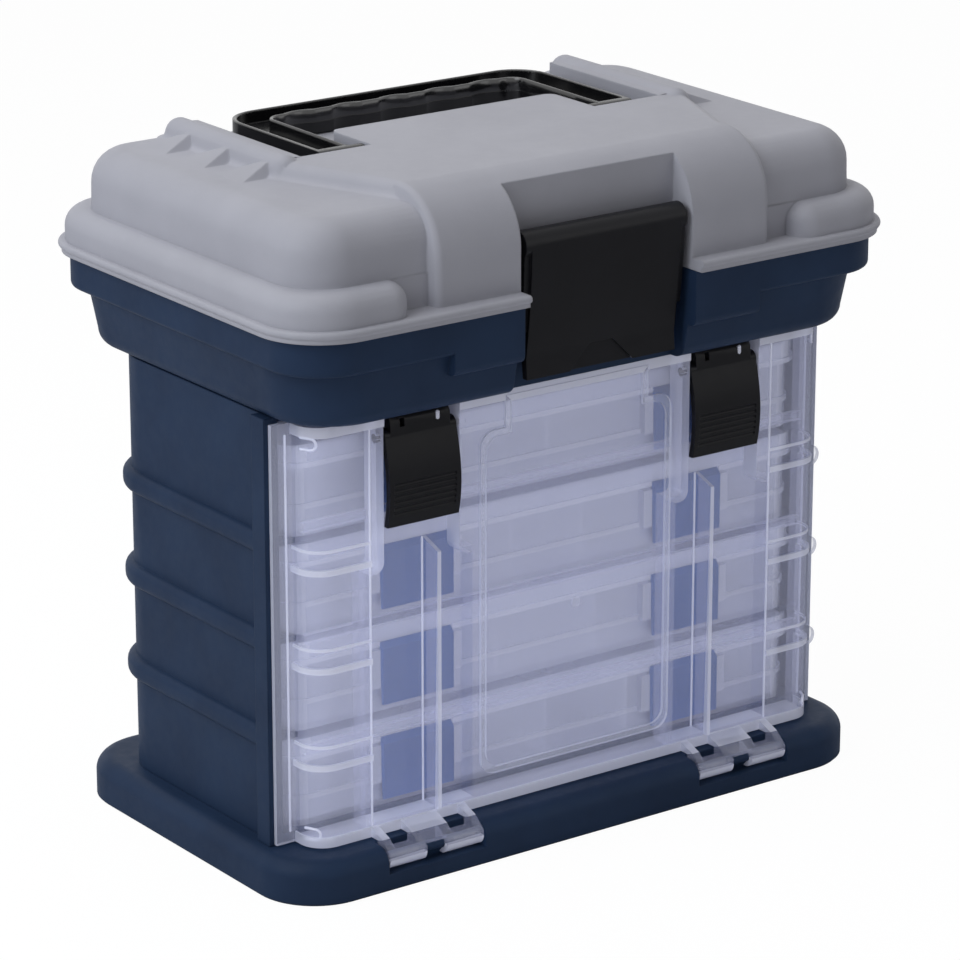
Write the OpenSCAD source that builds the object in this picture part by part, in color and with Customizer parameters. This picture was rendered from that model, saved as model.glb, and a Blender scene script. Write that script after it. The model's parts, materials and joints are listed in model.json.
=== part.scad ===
// Tackle box: a four-tray rack with a drop-down front door, a deep top tub
// under a domed lid, a folding carry handle and snap latches.
// +Z is up, the door faces -Y, and X runs along the long side. Sizes in millimetres.

/* [Base] */
// Width of the plinth
base_w = 263; // [250:1:290]
// Depth of the plinth, front to back
base_d = 153; // [145:1:175]
// Plan corner radius of the plinth
base_r = 24.5; // [18:0.5:32]
// Height of the plinth deck above the ground
base_h = 16; // [14:0.5:24]
// Radius of the plinth's upper edge
base_edge = 6; // [3:0.5:8]
// Wall and deck thickness of the plinth
base_wall = 3; // [2:0.5:4.5]
// Depth of the solid beam that carries the door hinge
base_beam = 16; // [14:0.5:22]

/* [Cabinet] */
// Width over the recessed side panels
cab_w = 243; // [236:1:250]
// Front edge of the cabinet, ahead of the centre
cab_front = 49.1; // [46:0.1:51]
// Back of the cabinet, behind the centre
cab_back = 61.6; // [58:0.1:68]
// Plan radius of the rear corners
cab_r = 24; // [14:1:30]
// Wall thickness
cab_wall = 2.5; // [2:0.1:3]
// Thickness of the cabinet floor
cab_floor = 4; // [3:0.5:6]
// How far the ribs and front pillars stand proud
rib_proud = 3.2; // [2:0.1:4]
// Height of an outside rib
rib_h = 8.5; // [6:0.5:12]
// Depth of the front pillars
pillar_d = 8; // [6:0.5:14]
// Width of the tray ledges
ledge_w = 8; // [5:0.5:12]
// Thickness of the tray ledges
ledge_t = 2; // [1.5:0.1:3]

/* [Utility boxes] */
// Number of utility boxes
box_n = 4; // [4:1:4]
// Vertical spacing of the boxes
box_pitch = 36.5; // [32:0.1:42]
// Gap between a box and the ledge above it
box_slack = 0.3; // [0.2:0.1:3]
// Room above the top box, up to the tub
box_head = 9.6; // [7:0.2:25]
// Gap beside a box
box_side = 2; // [0.5:0.1:4]
// Gap behind a box
box_rear = 3.6; // [1:0.1:8]
// How far the boxes stand out of the cabinet's front
box_proud = 0.4; // [0:0.1:0.8]
// Plan radius of a box's front corners
box_r = 10; // [6:0.5:14]
// Wall thickness of a box
box_wall = 1.6; // [1.2:0.1:2]
// Depth of the skirt of a box lid
box_skirt = 8.5; // [6:0.5:11]
// Gap between lid skirt and tray
box_gap = 0.4; // [0.3:0.1:0.6]
// How far the lower rim of a box lid and the rib of a tray stand out
box_rim = 0.8; // [0.4:0.1:0.9]
// Height of that rim and of the rib
box_rim_h = 2; // [1.2:0.1:3]
// Height of the rib above the tray's underside
tray_rib = 10; // [6:0.5:14]
// Distance of a box latch from the middle
box_latch_x = 61.4; // [58:0.2:66]
// Width of a box latch
box_latch_w = 31; // [24:0.5:32]
// Top of a box latch below the lid's top
box_latch_top = 7; // [5:0.5:7.5]
// Width of the posts beside a box latch
post_w = 4; // [3:0.5:5]
// Height of the posts
post_h = 14.5; // [10:0.5:15]
// Height of a box latch
box_latch_h = 23.5; // [18:0.5:24]
// Thickness of a box latch
box_latch_t = 2.2; // [1.6:0.1:2.6]
// Thickness of a divider
divider_t = 1.2; // [0.8:0.1:2]
// Gap round a divider
divider_gap = 0.3; // [0.2:0.1:0.6]

/* [Tub] */
// Width over the rim of lid and tub
rim_w = 270; // [262:1:290]
// Depth over the rim
rim_d = 176; // [172:1:190]
// Plan corner radius of the rim
rim_r = 26; // [22:0.5:32]
// Height of the tub, cabinet top to rim
tub_h = 34.4; // [32:0.2:50]
// Inset of the upper band from the rim
band_inset = 4.2; // [3.6:0.1:5]
// Height of the upper band
band_h = 13; // [10:0.5:16]
// Inset of the wall just under the band
wall_top_inset = 7.2; // [6.4:0.1:8]
// Inset of the wall at the tub's bottom
wall_low_inset = 10.2; // [9:0.1:12]
// Plan corner radius at the tub's bottom
tub_r = 25; // [20:0.5:30]
// Radius of the tub's bottom edge
tub_edge = 6; // [3:0.5:8]
// Wall thickness of the tub
tub_wall = 2.4; // [2:0.1:3]
// Half width of the thickened front boss
boss_hw = 68; // [60:1:76]
// Depth of the boss below the rim
boss_h = 21; // [18:0.5:24]
// Height of the tongue inside the lid
tongue_h = 2.5; // [1.5:0.1:3]
// Thickness of the tongue
tongue_t = 1.8; // [1.2:0.1:2.4]
// Gap between the tongue and the lid
tongue_gap = 0.4; // [0.2:0.1:1]

/* [Lid] */
// Wall thickness of the lid
lid_wall = 2.4; // [2:0.1:3]
// Gap between the closed lid and the tub
lid_gap = 0.1; // [0.05:0.05:0.3]
// Height of the rim flange
rim_h = 4.4; // [3.5:0.1:6]
// Height of the lip under the rim's bead
rim_lip_h = 1.7; // [1:0.1:2.2]
// How far that lip stands back from the bead
rim_lip_in = 1.2; // [0.4:0.1:1.4]
// Inset of the skirt step from the rim
step_inset = 2.6; // [2:0.1:3]
// Height of the skirt step above the rim's lower edge
step_h = 16.3; // [14:0.1:20]
// Radius of the step's upper edge
step_edge = 7; // [4:0.5:8]
// Half length of the break in the step along the front
step_break = 94; // [90:0.5:98]
// Inset of the dome from the rim at the sides
dome_side = 9.5; // [9:0.1:12]
// Inset of the dome from the rim at front and back
dome_end = 11.5; // [11:0.1:13]
// Plan corner radius of the dome
dome_r = 20; // [18:0.5:28]
// Height of the dome above the rim's lower edge
dome_h = 38.5; // [36:0.1:46]
// Radius of the dome's upper edge
dome_edge = 12.5; // [8:0.5:16]
// Draft of the dome's wall
dome_draft = 0.8; // [0.2:0.1:1.5]
// Half width of the raised belt's flat
belt_hw = 71; // [66:1:74]
// Width of the belt's sloping shoulder
belt_slope = 6; // [4:0.5:8]
// Depth of the belt's sloping shoulder
belt_fall = 6.5; // [6:0.1:8]
// Inset of the belt's front face from the rim
belt_front = 6.8; // [6:0.1:8]
// Height of the belt above the rim's lower edge
belt_h = 44; // [42:0.1:50]
// Radius of the belt's front edge
belt_edge = 24; // [16:0.5:26]
// Distance of a rail's crest from the middle
rail_x = 87.5; // [84:0.5:88]
// Radius of a rail's crest
rail_r = 5.6; // [4:0.1:6]
// Height of a rail above the belt
rail_rise = 2; // [1:0.1:3]
// Radius of the hollow at a rail's foot
rail_foot = 3; // [2:0.5:8]
// Steepness of a rail's outer slope, in degrees
rail_pitch = 75; // [45:1:80]
// Rear end of a rail's crest, behind the centre
rail_back = 60; // [50:0.5:62]
// Front end of a rail's crest, ahead of the centre
rail_front = 8; // [4:0.5:20]
// Length over which the belt narrows ahead of the rails
belt_neck = 42; // [30:1:45]
// How far the narrowing edge laps into the belt
belt_lap = 9; // [6:0.5:12]
// Front fin, ahead of the centre
fin_front = 8.6; // [6:0.2:12]
// Reach of a fin from its rail
fin_reach = 13; // [10:0.5:20]
// Height of a fin at its rail, above the dome
fin_h = 4.6; // [3:0.1:6]
// How far a fin's front leans back
fin_lean = 3.4; // [0.5:0.1:4]
// Thickness of a fin at its crest
fin_t = 3; // [2:0.5:6]
// Length of a fin with its rear slope
fin_len = 18; // [12:0.5:20]
// Spacing of the fins
fin_pitch = 25.4; // [20:0.2:28]

/* [Lid hinge] */
// Hinge axis behind the rim
hinge_back = 1; // [0.5:0.1:2]
// Hinge axis below the rim's lower edge
hinge_drop = 4.5; // [4.3:0.1:6]
// Diameter of the hinge pin
hinge_pin = 4; // [3:0.1:4.5]
// Running clearance of the pin, on the radius
pin_gap = 0.08; // [0.03:0.01:0.1]
// Outer radius of lugs and clips
hinge_r = 3.75; // [3.5:0.05:4]
// Distance of a hinge from the middle
hinge_x = 62; // [50:1:75]
// Spacing of the lugs in a hinge
lug_pitch = 24; // [20:0.5:28]
// Width of a lug
lug_w = 8; // [6:0.5:10]
// Gap beside a lug
lug_gap = 0.6; // [0.4:0.1:1]

/* [Handle] */
// Half width of the handle
handle_hw = 70; // [64:0.5:74]
// Thickness of the handle
handle_t = 9; // [8:0.1:9.4]
// Width of the grip
grip_w = 13; // [10:0.5:16]
// Width of an arm
arm_w = 14; // [8:0.5:16]
// Rear edge of the grip, behind the centre
handle_back = 63; // [58:0.5:66]
// Handle axis, behind the centre
handle_axis = -2.5; // [-6:0.5:15]
// Plan radius of the handle's corners
handle_r = 15; // [12:0.5:20]
// Depth of the groove along the top
handle_groove = 4.5; // [2:0.1:5]
// Width of the groove's rims
handle_rim = 1.6; // [1.2:0.1:3]
// Spacing of the finger waves on the grip
wave_pitch = 21; // [18:0.5:24]
// Radius of a finger wave
wave_r = 14; // [12:0.5:20]
// Depth of a finger wave
wave_depth = 1.6; // [0.5:0.1:3]
// Diameter of the handle's pivots
handle_pin = 6; // [5:0.1:7]
// Length of a pivot inside the island
handle_seat = 7; // [5:0.5:9]
// Half width of the island between the pivots
island_hw = 50; // [40:0.5:52]
// Rear edge of the island, behind the centre
island_back = 19; // [17.5:0.5:22]
// Plan radius of the island's rear corners
island_r = 4; // [2:0.5:5]
// Half width of the handle's pocket
pocket_hw = 80; // [77:0.5:82]
// Clearance round the folded handle
handle_gap = 0.5; // [0.4:0.1:1]

/* [Main latch] */
// Half width of the latch bay
bay_hw = 38; // [34:0.5:42]
// Depth of the latch bay behind the rim's front
bay_depth = 18.5; // [17:0.1:19.5]
// Gap beside the latch
bay_gap = 2.5; // [1:0.1:4]
// Latch axis, ahead of the bay's back wall
latch_out = 6.5; // [6.2:0.1:7]
// Latch axis above the rim's lower edge
latch_up = 19.5; // [17:0.5:22]
// Radius of the latch's barrel
latch_barrel = 5.2; // [4.5:0.1:5.6]
// Thickness of the latch plate
latch_t = 2.6; // [2:0.1:3.2]
// Length of the latch below its axis
latch_len = 49; // [40:0.5:50]
// How far the latch's lower end leans back
latch_lean = 4.6; // [3:0.1:5]
// Width of a side return of the latch
latch_return = 2.5; // [1.5:0.1:3]
// Width of the finger scoop at the latch's lower edge
scoop_w = 30; // [20:1:40]
// Height of the finger scoop
scoop_h = 9; // [6:0.5:12]
// Depth of the finger scoop
scoop_d = 1.5; // [0.8:0.1:1.8]
// Diameter of the latch's pivots
latch_pin = 4; // [3:0.1:4.5]
// Length of a pivot inside its bore
latch_seat = 2; // [1.5:0.1:2.4]
// Reach of the catch ridge on the tub
catch_reach = 2.5; // [1.5:0.1:3]
// Height of the catch ridge
catch_h = 5; // [3:0.5:7]
// Lower edge of the catch ridge below the rim
catch_drop = 17; // [12:0.5:20]
// Clearance between a catch and its hook
catch_gap = 0.6; // [0.4:0.1:1]

/* [Door] */
// Width over the door's flanges
door_w = 246; // [240:1:248]
// Width of the raised field
field_w = 229.4; // [224:0.2:232]
// Thickness of the door's sheet
door_t = 1.8; // [1.4:0.1:2.2]
// Gap between the door's flange and the cabinet
door_seat = 0.3; // [0.2:0.1:0.6]
// Depth of the raised field in front of the flange
field_rise = 12.3; // [11:0.1:14]
// Plan radius of the raised field's corners
field_r = 9; // [6:0.5:10]
// Gap under the door
door_low = 0.8; // [0.6:0.1:1.5]
// Gap between the door and the tub
door_high = 2.1; // [1.9:0.1:3]
// Distance of a channel's centre from the middle
channel_x = 68.2; // [62:0.2:72]
// Width of a channel
channel_w = 32.4; // [30:0.2:34]
// Depth of a channel below the raised field
channel_d = 7.5; // [6.5:0.1:7.6]
// Height of the notch behind the door latches' hooks
notch_h = 8; // [7:0.1:9]
// Width of a channel below its cheeks
channel_low_w = 44; // [36:0.5:46]
// Length of the cheeks beside a door latch
cheek_h = 58; // [48:0.5:66]
// Radius at the lower end of a cheek
cheek_r = 4; // [2.5:0.1:6]
// Height of the closed band along the door's lower edge
door_band = 5; // [5:0.5:12]
// Thickness of the fin in a channel
channel_fin_t = 1.6; // [1.2:0.1:2.4]
// Reach of the fin in a channel
channel_fin_reach = 9.5; // [6:0.5:10]
// Distance of the fin from the middle
channel_fin_x = 62; // [60:0.5:70]
// Slope at the fin's top
channel_fin_slope = 3.4; // [2:0.1:6]
// Height of the fin's top above the door's lower edge
channel_fin_h = 106; // [90:1:112]
// Height of the lips along the lower and upper edges
lip_h = 4; // [2.5:0.5:4.5]
// How far the lips stand out
lip_proud = 0.6; // [0.3:0.1:1]
// Number of stiffening bars
bar_n = 3; // [1:1:3]
// First bar above the door's lower edge
bar_low = 35.2; // [30:0.2:40]
// Distance between the bars
bar_pitch = 41.6; // [36:0.2:44]
// Height of a bar
bar_h = 3.4; // [2:0.1:5]
// Thickness of a bar behind the channels
bar_t = 1.6; // [1:0.1:1.8]
// Height of the gate mark above the door's lower edge
gate_z = 70; // [60:1:90]
// Diameter of the gate mark
gate_d = 4; // [3:0.5:6]
// Height of the gate mark
gate_h = 0.5; // [0.3:0.1:1]
// Width of a bead
bead_w = 2.4; // [1.6:0.1:3]
// Height of a bead
bead_h = 1.1; // [0.5:0.1:1.4]
// Half width of the central bead frame
frame_hw = 43; // [38:0.5:46]
// Lower edge of the frame above the door's lower edge
frame_low = 12; // [8:0.5:16]
// Shoulder of the frame below the door's top
frame_shoulder = 14; // [10:0.5:20]
// Corner radius of the frame
frame_r = 6; // [4:0.5:8]
// Half width of the frame's neck
frame_neck = 32; // [26:0.5:36]
// Radius of the half-round tabs on the right flange
tab_r = 4; // [3:0.1:5]

/* [Door hinge] */
// Hinge axis behind the plinth's front
dh_back = 4.5; // [4.3:0.1:6]
// Hinge axis below the deck
dh_drop = 4.5; // [4.3:0.1:6]
// Diameter of the hinge pin
dh_pin = 4; // [3:0.1:4.4]
// Outer radius of a hinge loop
dh_r = 4; // [3.6:0.1:4.2]
// Width of a hinge loop
loop_w = 16; // [12:0.5:18]
// Centre distance of the two loops of a pair
loop_pitch = 25; // [22:0.5:30]
// How far a pair of loops sits outside its channel's centre
loop_shift = 2.4; // [0:0.1:4]
// Gap beside a hinge loop
loop_gap = 0.8; // [0.5:0.1:1.5]
// Width of a loop's side bar
loop_bar = 3.2; // [2:0.1:4]

/* [Door latches] */
// Width of a door latch
dl_w = 30.6; // [28:0.2:31.4]
// Height of a door latch below its axis
dl_len = 32.5; // [28:0.5:36]
// Latch axis below the notch
dl_drop = 1; // [0.6:0.1:2]
// Latch axis in front of the channel's floor
dl_out = 4.2; // [3.8:0.1:4.6]
// Radius of the latch's barrel
dl_barrel = 3; // [2.6:0.1:3.4]
// Thickness of the latch plate
dl_t = 2.4; // [1.8:0.1:3]
// How far the latch bulges
dl_bulge = 3.2; // [2:0.1:4]
// Diameter of the latch's pivots
dl_pin = 3.4; // [2.6:0.1:3.8]
// Length of a pivot inside its bore
dl_seat = 1.5; // [1:0.1:1.7]
// Number of grip grooves
dl_grooves = 6; // [3:1:8]
// Height of the latch's hook above its axis
dl_hook = 7.4; // [6.5:0.1:8]
// Drop of the keeper below the tub
keeper_h = 2.2; // [1.2:0.1:2.4]
// Thickness of the keeper
keeper_t = 2.2; // [1.6:0.1:3]

/* [Hidden] */
$fn = 64;
eps = 0.01;

// Colours of the moulded plastics
navy = "#2b3850";
grey = "#a9a9b1";
black = "#1d1d20";
frost = "#c4c6de";
blue = "#4b5f8f";

// Sizes of the cabinet and of the boxes it holds
cab_h = cab_floor + box_n * box_pitch + box_head;
box_h = box_pitch - ledge_t - box_slack;
box_w = cab_w - 2 * cab_wall - 2 * box_side;
box_front = cab_front + box_proud;
box_d = box_front + cab_back - cab_wall - box_rear;
// The rear corners follow the round corners of the cabinet
box_rear_r = max(box_r, cab_r - cab_wall - 1);

// Heights
z_deck = base_h;
z_floor = base_h + cab_floor;
z_tub = base_h + cab_h;
z_rim = z_tub + tub_h;
z_step = z_rim + step_h;
z_dome = z_rim + dome_h;
z_belt = z_rim + belt_h;
z_rail = z_belt + rail_rise;
z_band = z_rim - band_h;
z_hinge = z_rim - hinge_drop;
z_pocket = z_belt - handle_t - 2 * handle_gap;
z_handle = z_pocket + handle_gap + handle_t / 2;
z_latch = z_rim + latch_up;
z_door = z_deck + door_low;
z_door_top = z_tub - door_high;
z_notch = z_door_top - notch_h;
z_dh = z_deck - dh_drop;
z_dl = z_notch - dl_drop;
z_cheek = z_door_top - cheek_h;

// Places along Y, with the front negative
rim_hw = rim_w / 2;
rim_hd = rim_d / 2;
y_dome = rim_hd - dome_end;
y_hinge = rim_hd + hinge_back;
bay_y = rim_hd - bay_depth;
y_latch = -bay_y - latch_out;
y_flange = -cab_front - door_seat - door_t;
y_field = y_flange - field_rise;
y_channel = y_field + channel_d;
y_dh = -base_d / 2 + dh_back;
y_dl = y_channel - dl_out;
// The rear hinge stands proud of the rim, so the whole is centred on its own outline
y_centre = -(hinge_back + hinge_r) / 2;

// Start of the run-out's slope, in degrees from level, and how deep rails are rooted in the dome
crease = 80;
rail_sunk = 6;

rib_n = box_n - 1;
divider_rows = [5, 4, 6, 3];

// Points of an arc about [cx, cy]
function arc(cx, cy, r, a0, a1, n = 8) =
    [for (i = [0:n]) let (a = a0 + (a1 - a0) * i / n) [cx + r * cos(a), cy + r * sin(a)]];

// A rounded rectangle, centred
module rrect(w, d, r) {
    square([w - 2 * r, d], center = true);
    square([w, d - 2 * r], center = true);
    for (x = [-1, 1], y = [-1, 1]) translate([x * (w / 2 - r), y * (d / 2 - r)]) circle(r);
}

// A prism on a rounded rectangle, from one height to another
module rprism(w, d, r, z0, z1) {
    translate([0, 0, z0]) linear_extrude(z1 - z0) rrect(w, d, r);
}

// Carries a profile of [distance out from the corner centres, height] round a rounded rectangle
module swept(w, d, r, profile) {
    hx = w / 2 - r;
    hy = d / 2 - r;
    for (k = [0:3]) {
        far = k % 2 == 0 ? hx : hy;
        side = k % 2 == 0 ? hy : hx;
        rotate([0, 0, 90 * k]) {
            translate([far, side, 0]) rotate_extrude(angle = 90) polygon(profile);
            translate([far, 0, 0]) rotate([90, 0, 0]) linear_extrude(2 * side, center = true)
                polygon(profile);
        }
    }
}

// The same, filled in the middle between two heights
module swept_solid(w, d, r, profile, z0, z1) {
    swept(w, d, r, profile);
    translate([r - w / 2, r - d / 2, z0]) cube([w - 2 * r, d - 2 * r, z1 - z0]);
}

// A block given by its two corners
module block(a, b) {
    translate(a) cube(b - a);
}

// A profile in [y, z] carried along X between two places
module along_x(x0, x1) {
    translate([x0, 0, 0]) rotate([90, 0, 90]) linear_extrude(x1 - x0) children();
}

// A cylinder along X
module rod(x0, x1, y, z, r) {
    translate([x0, y, z]) rotate([0, 90, 0]) cylinder(h = x1 - x0, r = r);
}

// Both halves of something that is alike left and right
module both() {
    children();
    mirror([1, 0, 0]) children();
}

// Puts the assembly on its origin
module placed() {
    translate([0, y_centre, 0]) children();
}

// Middles of the door's hinge loops on one side
function loop_places() = [for (k = [-1, 1]) channel_x + loop_shift + k * loop_pitch / 2];

// Middles of the lid hinge's lugs and of the clips between them, on one side
function lug_places() = [for (k = [-1:1]) hinge_x + k * lug_pitch];
function clip_places() = [for (k = [-1, 1]) hinge_x + k * lug_pitch / 2];

module base() color(navy) {
    inner_w = base_w - 2 * base_wall;
    inner_front = -base_d / 2 + base_beam;
    inner_back = base_d / 2 - base_wall;
    loops = loop_places();
    difference() {
        swept_solid(base_w, base_d, base_r,
                    concat([[0, 0], [base_r - 1, 0], [base_r, 1]],
                           arc(base_r - base_edge, z_deck - base_edge, base_edge, 0, 90),
                           [[0, z_deck]]),
                    0, z_deck);
        // Hollow underside, split by two stiffeners
        translate([0, (inner_front + inner_back) / 2, 0]) difference() {
            rprism(inner_w, inner_back - inner_front, base_r - base_wall, -1, z_deck - base_wall);
            for (x = [-1, 1])
                block([x * base_w / 6 - base_wall / 2, -base_d, -2],
                      [x * base_w / 6 + base_wall / 2, base_d, z_deck]);
        }
        // Notches for the door's hinge brackets, open at the front
        both() block([loops[0] - loop_w / 2 - loop_gap, -base_d, z_dh - dh_r - loop_gap],
                     [loops[1] + loop_w / 2 + loop_gap, y_dh + dh_r + loop_gap, base_h + 1]);
    }
    // Moulded hinge pins across the notches
    both() rod(loops[0] - loop_w / 2 - loop_gap - 1, loops[1] + loop_w / 2 + loop_gap + 1,
               y_dh, z_dh, dh_pin / 2);
}

// The cabinet's plan outline, grown outwards, with round corners at the back only
module cab_plan(grow) {
    hw = cab_w / 2 + grow;
    r = cab_r + grow;
    translate([-hw, -cab_front]) square([2 * hw, cab_front + cab_back + grow - r]);
    translate([-hw + r, -cab_front]) square([2 * (hw - r), cab_front + cab_back + grow]);
    for (s = [-1, 1]) translate([s * (hw - r), cab_back + grow - r]) circle(r);
}

// One outside rib: a half-round strip along both sides and round the back
module cab_rib(z) {
    nose = rib_proud;
    strip = concat([[-0.5, -rib_h / 2]], arc(0, nose - rib_h / 2, nose, -90, 0, 6),
                   arc(0, rib_h / 2 - nose, nose, 0, 90, 6), [[-0.5, rib_h / 2]]);
    round_strip = [for (p = strip) p + [cab_r, 0]];
    side = cab_front - pillar_d + cab_back - cab_r;
    translate([0, 0, z]) {
        both() {
            translate([cab_w / 2, cab_back - cab_r - side / 2, 0])
                rotate([90, 0, 0]) linear_extrude(side, center = true) polygon(strip);
            translate([cab_w / 2 - cab_r, cab_back - cab_r, 0])
                rotate_extrude(angle = 90) polygon(round_strip);
        }
        translate([0, cab_back, 0]) rotate([90, 0, 90])
            linear_extrude(cab_w - 2 * cab_r, center = true) polygon(strip);
    }
}

module cabinet() color(navy) {
    inner_hw = cab_w / 2 - cab_wall;
    difference() {
        translate([0, 0, z_deck]) linear_extrude(cab_h) cab_plan(0);
        translate([0, 0, z_floor]) linear_extrude(cab_h) {
            cab_plan(-cab_wall);
            translate([-inner_hw, -cab_front - 1]) square([2 * inner_hw, cab_r]);
        }
    }
    // Ledges that carry the trays, and a flange under the tub
    both() {
        for (i = [1:rib_n])
            block([inner_hw - ledge_w, -cab_front + ledge_t, z_floor + i * box_pitch - ledge_t],
                  [inner_hw + 0.5, cab_back - cab_r, z_floor + i * box_pitch]);
        block([inner_hw - ledge_w, -cab_front + ledge_t, z_tub - cab_wall],
              [inner_hw + 0.5, cab_back - cab_r, z_tub]);
    }
    for (i = [1:rib_n]) cab_rib(z_floor + i * box_pitch - ledge_t / 2);
    // Front pillars, flush with the ribs
    both() block([cab_w / 2 - 0.5, -cab_front, z_deck],
                 [cab_w / 2 + rib_proud, -cab_front + pillar_d, z_tub]);
}

// Inside of the tub, clear of the latch bay's back wall
module tub_hollow() {
    low = wall_low_inset + tub_wall;
    mid = wall_top_inset + tub_wall;
    r = tub_r - tub_wall;
    top_inset = step_inset + lid_wall + tongue_gap + tongue_t;
    difference() {
        union() {
            swept_solid(rim_w - 2 * low, rim_d - 2 * low, r,
                        concat([[0, z_tub + tub_wall]],
                               arc(r - tub_edge / 2, z_tub + tub_wall + tub_edge / 2, tub_edge / 2,
                                   -90, 0, 5),
                               [[r + low - mid, z_band + tub_wall], [0, z_band + tub_wall]]),
                        z_tub + tub_wall, z_band + tub_wall);
            rprism(rim_w - 2 * top_inset, rim_d - 2 * top_inset, rim_r - top_inset,
                   z_band + tub_wall - eps, z_rim);
        }
        block([-bay_hw - tub_wall, -rim_d, 0], [bay_hw + tub_wall, -bay_y + tub_wall, z_rim]);
        // Room for the solid behind the boss
        block([-boss_hw, -rim_d, 0], [boss_hw, -rim_hd + mid + 2, z_rim - lid_gap]);
    }
}

// Tongue that stands up inside the lid, left out along the front
module tongue() {
    out = step_inset + lid_wall + tongue_gap;
    in = out + tongue_t;
    z0 = z_rim - lid_gap - tub_wall;
    front = dome_end + lid_wall + tongue_t;
    difference() {
        rprism(rim_w - 2 * out, rim_d - 2 * out, rim_r - out, z0, z_rim + tongue_h);
        rprism(rim_w - 2 * in, rim_d - 2 * in, rim_r - in, z0 - 1, z_rim + tongue_h + 1);
        block([-step_break - lid_wall - tongue_t, -rim_d, z0 - 1],
              [step_break + lid_wall + tongue_t, -rim_hd + front, z_belt]);
    }
}

module tub() color(navy) {
    band_r = rim_r - band_inset;
    z_top = z_rim - lid_gap;
    z_catch = z_rim - catch_drop;
    difference() {
        union() {
            // Upper band, concentric with the rim
            swept_solid(rim_w - 2 * band_inset, rim_d - 2 * band_inset, band_r,
                        concat([[0, z_band], [band_r - 3, z_band]],
                               arc(band_r - 1.6, z_band + 1.6, 1.6, -90, 0, 4),
                               [[band_r, z_top], [0, z_top]]),
                        z_band, z_top);
            // Tapered wall with a rounded bottom edge
            swept_solid(rim_w - 2 * wall_low_inset, rim_d - 2 * wall_low_inset, tub_r,
                        concat([[0, z_tub]],
                               arc(tub_r - tub_edge, z_tub + tub_edge, tub_edge, -90, 0),
                               [[tub_r + wall_low_inset - wall_top_inset, z_band], [0, z_band]]),
                        z_tub, z_band);
            // Boss on both sides of the latch bay
            along_x(-boss_hw, boss_hw)
                polygon(concat(arc(-rim_hd + band_inset + 3, z_rim - boss_h + 3, 3, 180, 270, 4),
                               [[-bay_y, z_rim - boss_h], [-bay_y, z_top], [-rim_hd + band_inset, z_top]]));
        }
        tub_hollow();
        // Latch bay
        block([-bay_hw, -rim_d, z_tub - 1], [bay_hw, -bay_y, z_rim + 1]);
    }
    tongue();
    // Catch ridge for the main latch, with a long slope above
    along_x(-bay_hw / 2, bay_hw / 2)
        polygon([[-bay_y + tub_wall / 2, z_catch], [-bay_y, z_catch],
                 [-bay_y - catch_reach, z_catch + catch_h * 0.3],
                 [-bay_y - catch_reach, z_catch + catch_h * 0.5], [-bay_y, z_catch + catch_h],
                 [-bay_y + tub_wall / 2, z_catch + catch_h]]);
    // Keepers for the door latches
    both() block([channel_x - dl_w / 2 + 2, y_field - 1, z_tub - keeper_h],
                 [channel_x + dl_w / 2 - 2, y_field - 1 + keeper_t, z_tub + 1]);
    // Snap clips of the lid hinge
    both() for (x = clip_places()) clip(x, lug_pitch - lug_w - 2 * lug_gap);
}

// A snap clip on the tub's back, round the lid's hinge pin
module clip(x, w) {
    along_x(x - w / 2, x + w / 2) difference() {
        union() {
            translate([y_hinge, z_hinge]) circle(hinge_r);
            polygon([[rim_hd - band_inset - 1, z_hinge - 8], [rim_hd - band_inset, z_hinge - 8],
                     [y_hinge, z_hinge - hinge_r], [y_hinge, z_hinge + 1],
                     [rim_hd - band_inset - 1, z_hinge + 1]]);
        }
        translate([y_hinge, z_hinge]) {
            circle(hinge_pin / 2 + pin_gap);
            rotate(50) translate([0, -hinge_pin * 0.4]) square([2 * hinge_r, hinge_pin * 0.8]);
        }
    }
}

// Upper edge of a quarter-round end or a straight run of the lid's step
function step_profile(r, z0) =
    concat([[0, z0], [r, z0]], arc(r - step_edge, z_step - step_edge, step_edge, 0, 90), [[0, z_step]]);

module lid_skirt() {
    step_r = rim_r - step_inset;
    z_flange = z_rim + rim_h;
    bead_r = (rim_h - rim_lip_h) / 2;
    lip = rim_r - rim_lip_in;
    end_r = dome_end - step_inset;
    // Rim flange: a half-round bead over a lip that stands back
    swept_solid(rim_w, rim_d, rim_r,
                concat([[0, z_rim], [lip, z_rim], [lip, z_rim + rim_lip_h]],
                       arc(rim_r - bead_r, z_flange - bead_r, bead_r, -90, 90), [[0, z_flange]]),
                z_rim, z_flange);
    difference() {
        swept_solid(rim_w - 2 * step_inset, rim_d - 2 * step_inset, step_r,
                    step_profile(step_r, z_flange - 1), z_flange - 1, z_step);
        block([-step_break, -rim_d, z_flange], [step_break, -y_dome, z_belt]);
    }
    // Rounded ends of the step on the front
    both() translate([step_break, -y_dome, 0]) rotate([0, 0, 180])
        rotate_extrude(angle = 90) polygon(step_profile(end_r, z_flange - 1));
}

// The dome, shrunk inwards all round for the hollow
module dome(shrink, z0, z1) {
    r = dome_r - shrink;
    edge = dome_edge - shrink;
    swept_solid(rim_w - 2 * (dome_side + shrink), rim_d - 2 * (dome_end + shrink), r,
                concat([[0, z0], [r, z0]], arc(r - dome_draft - edge, z1 - edge, edge, 0, 90), [[0, z1]]),
                z0, z1);
}

// Right half of the belt's cross-section as [distance out from the edge's centre, x], outermost first
function belt_side() =
    let (r = min(belt_slope, belt_fall) / 2)
    concat(arc(belt_edge - r, belt_hw, r, 0, 60, 5),
           arc(belt_edge - belt_fall + r, belt_hw + belt_slope, r, 240, 180, 5));

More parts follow.
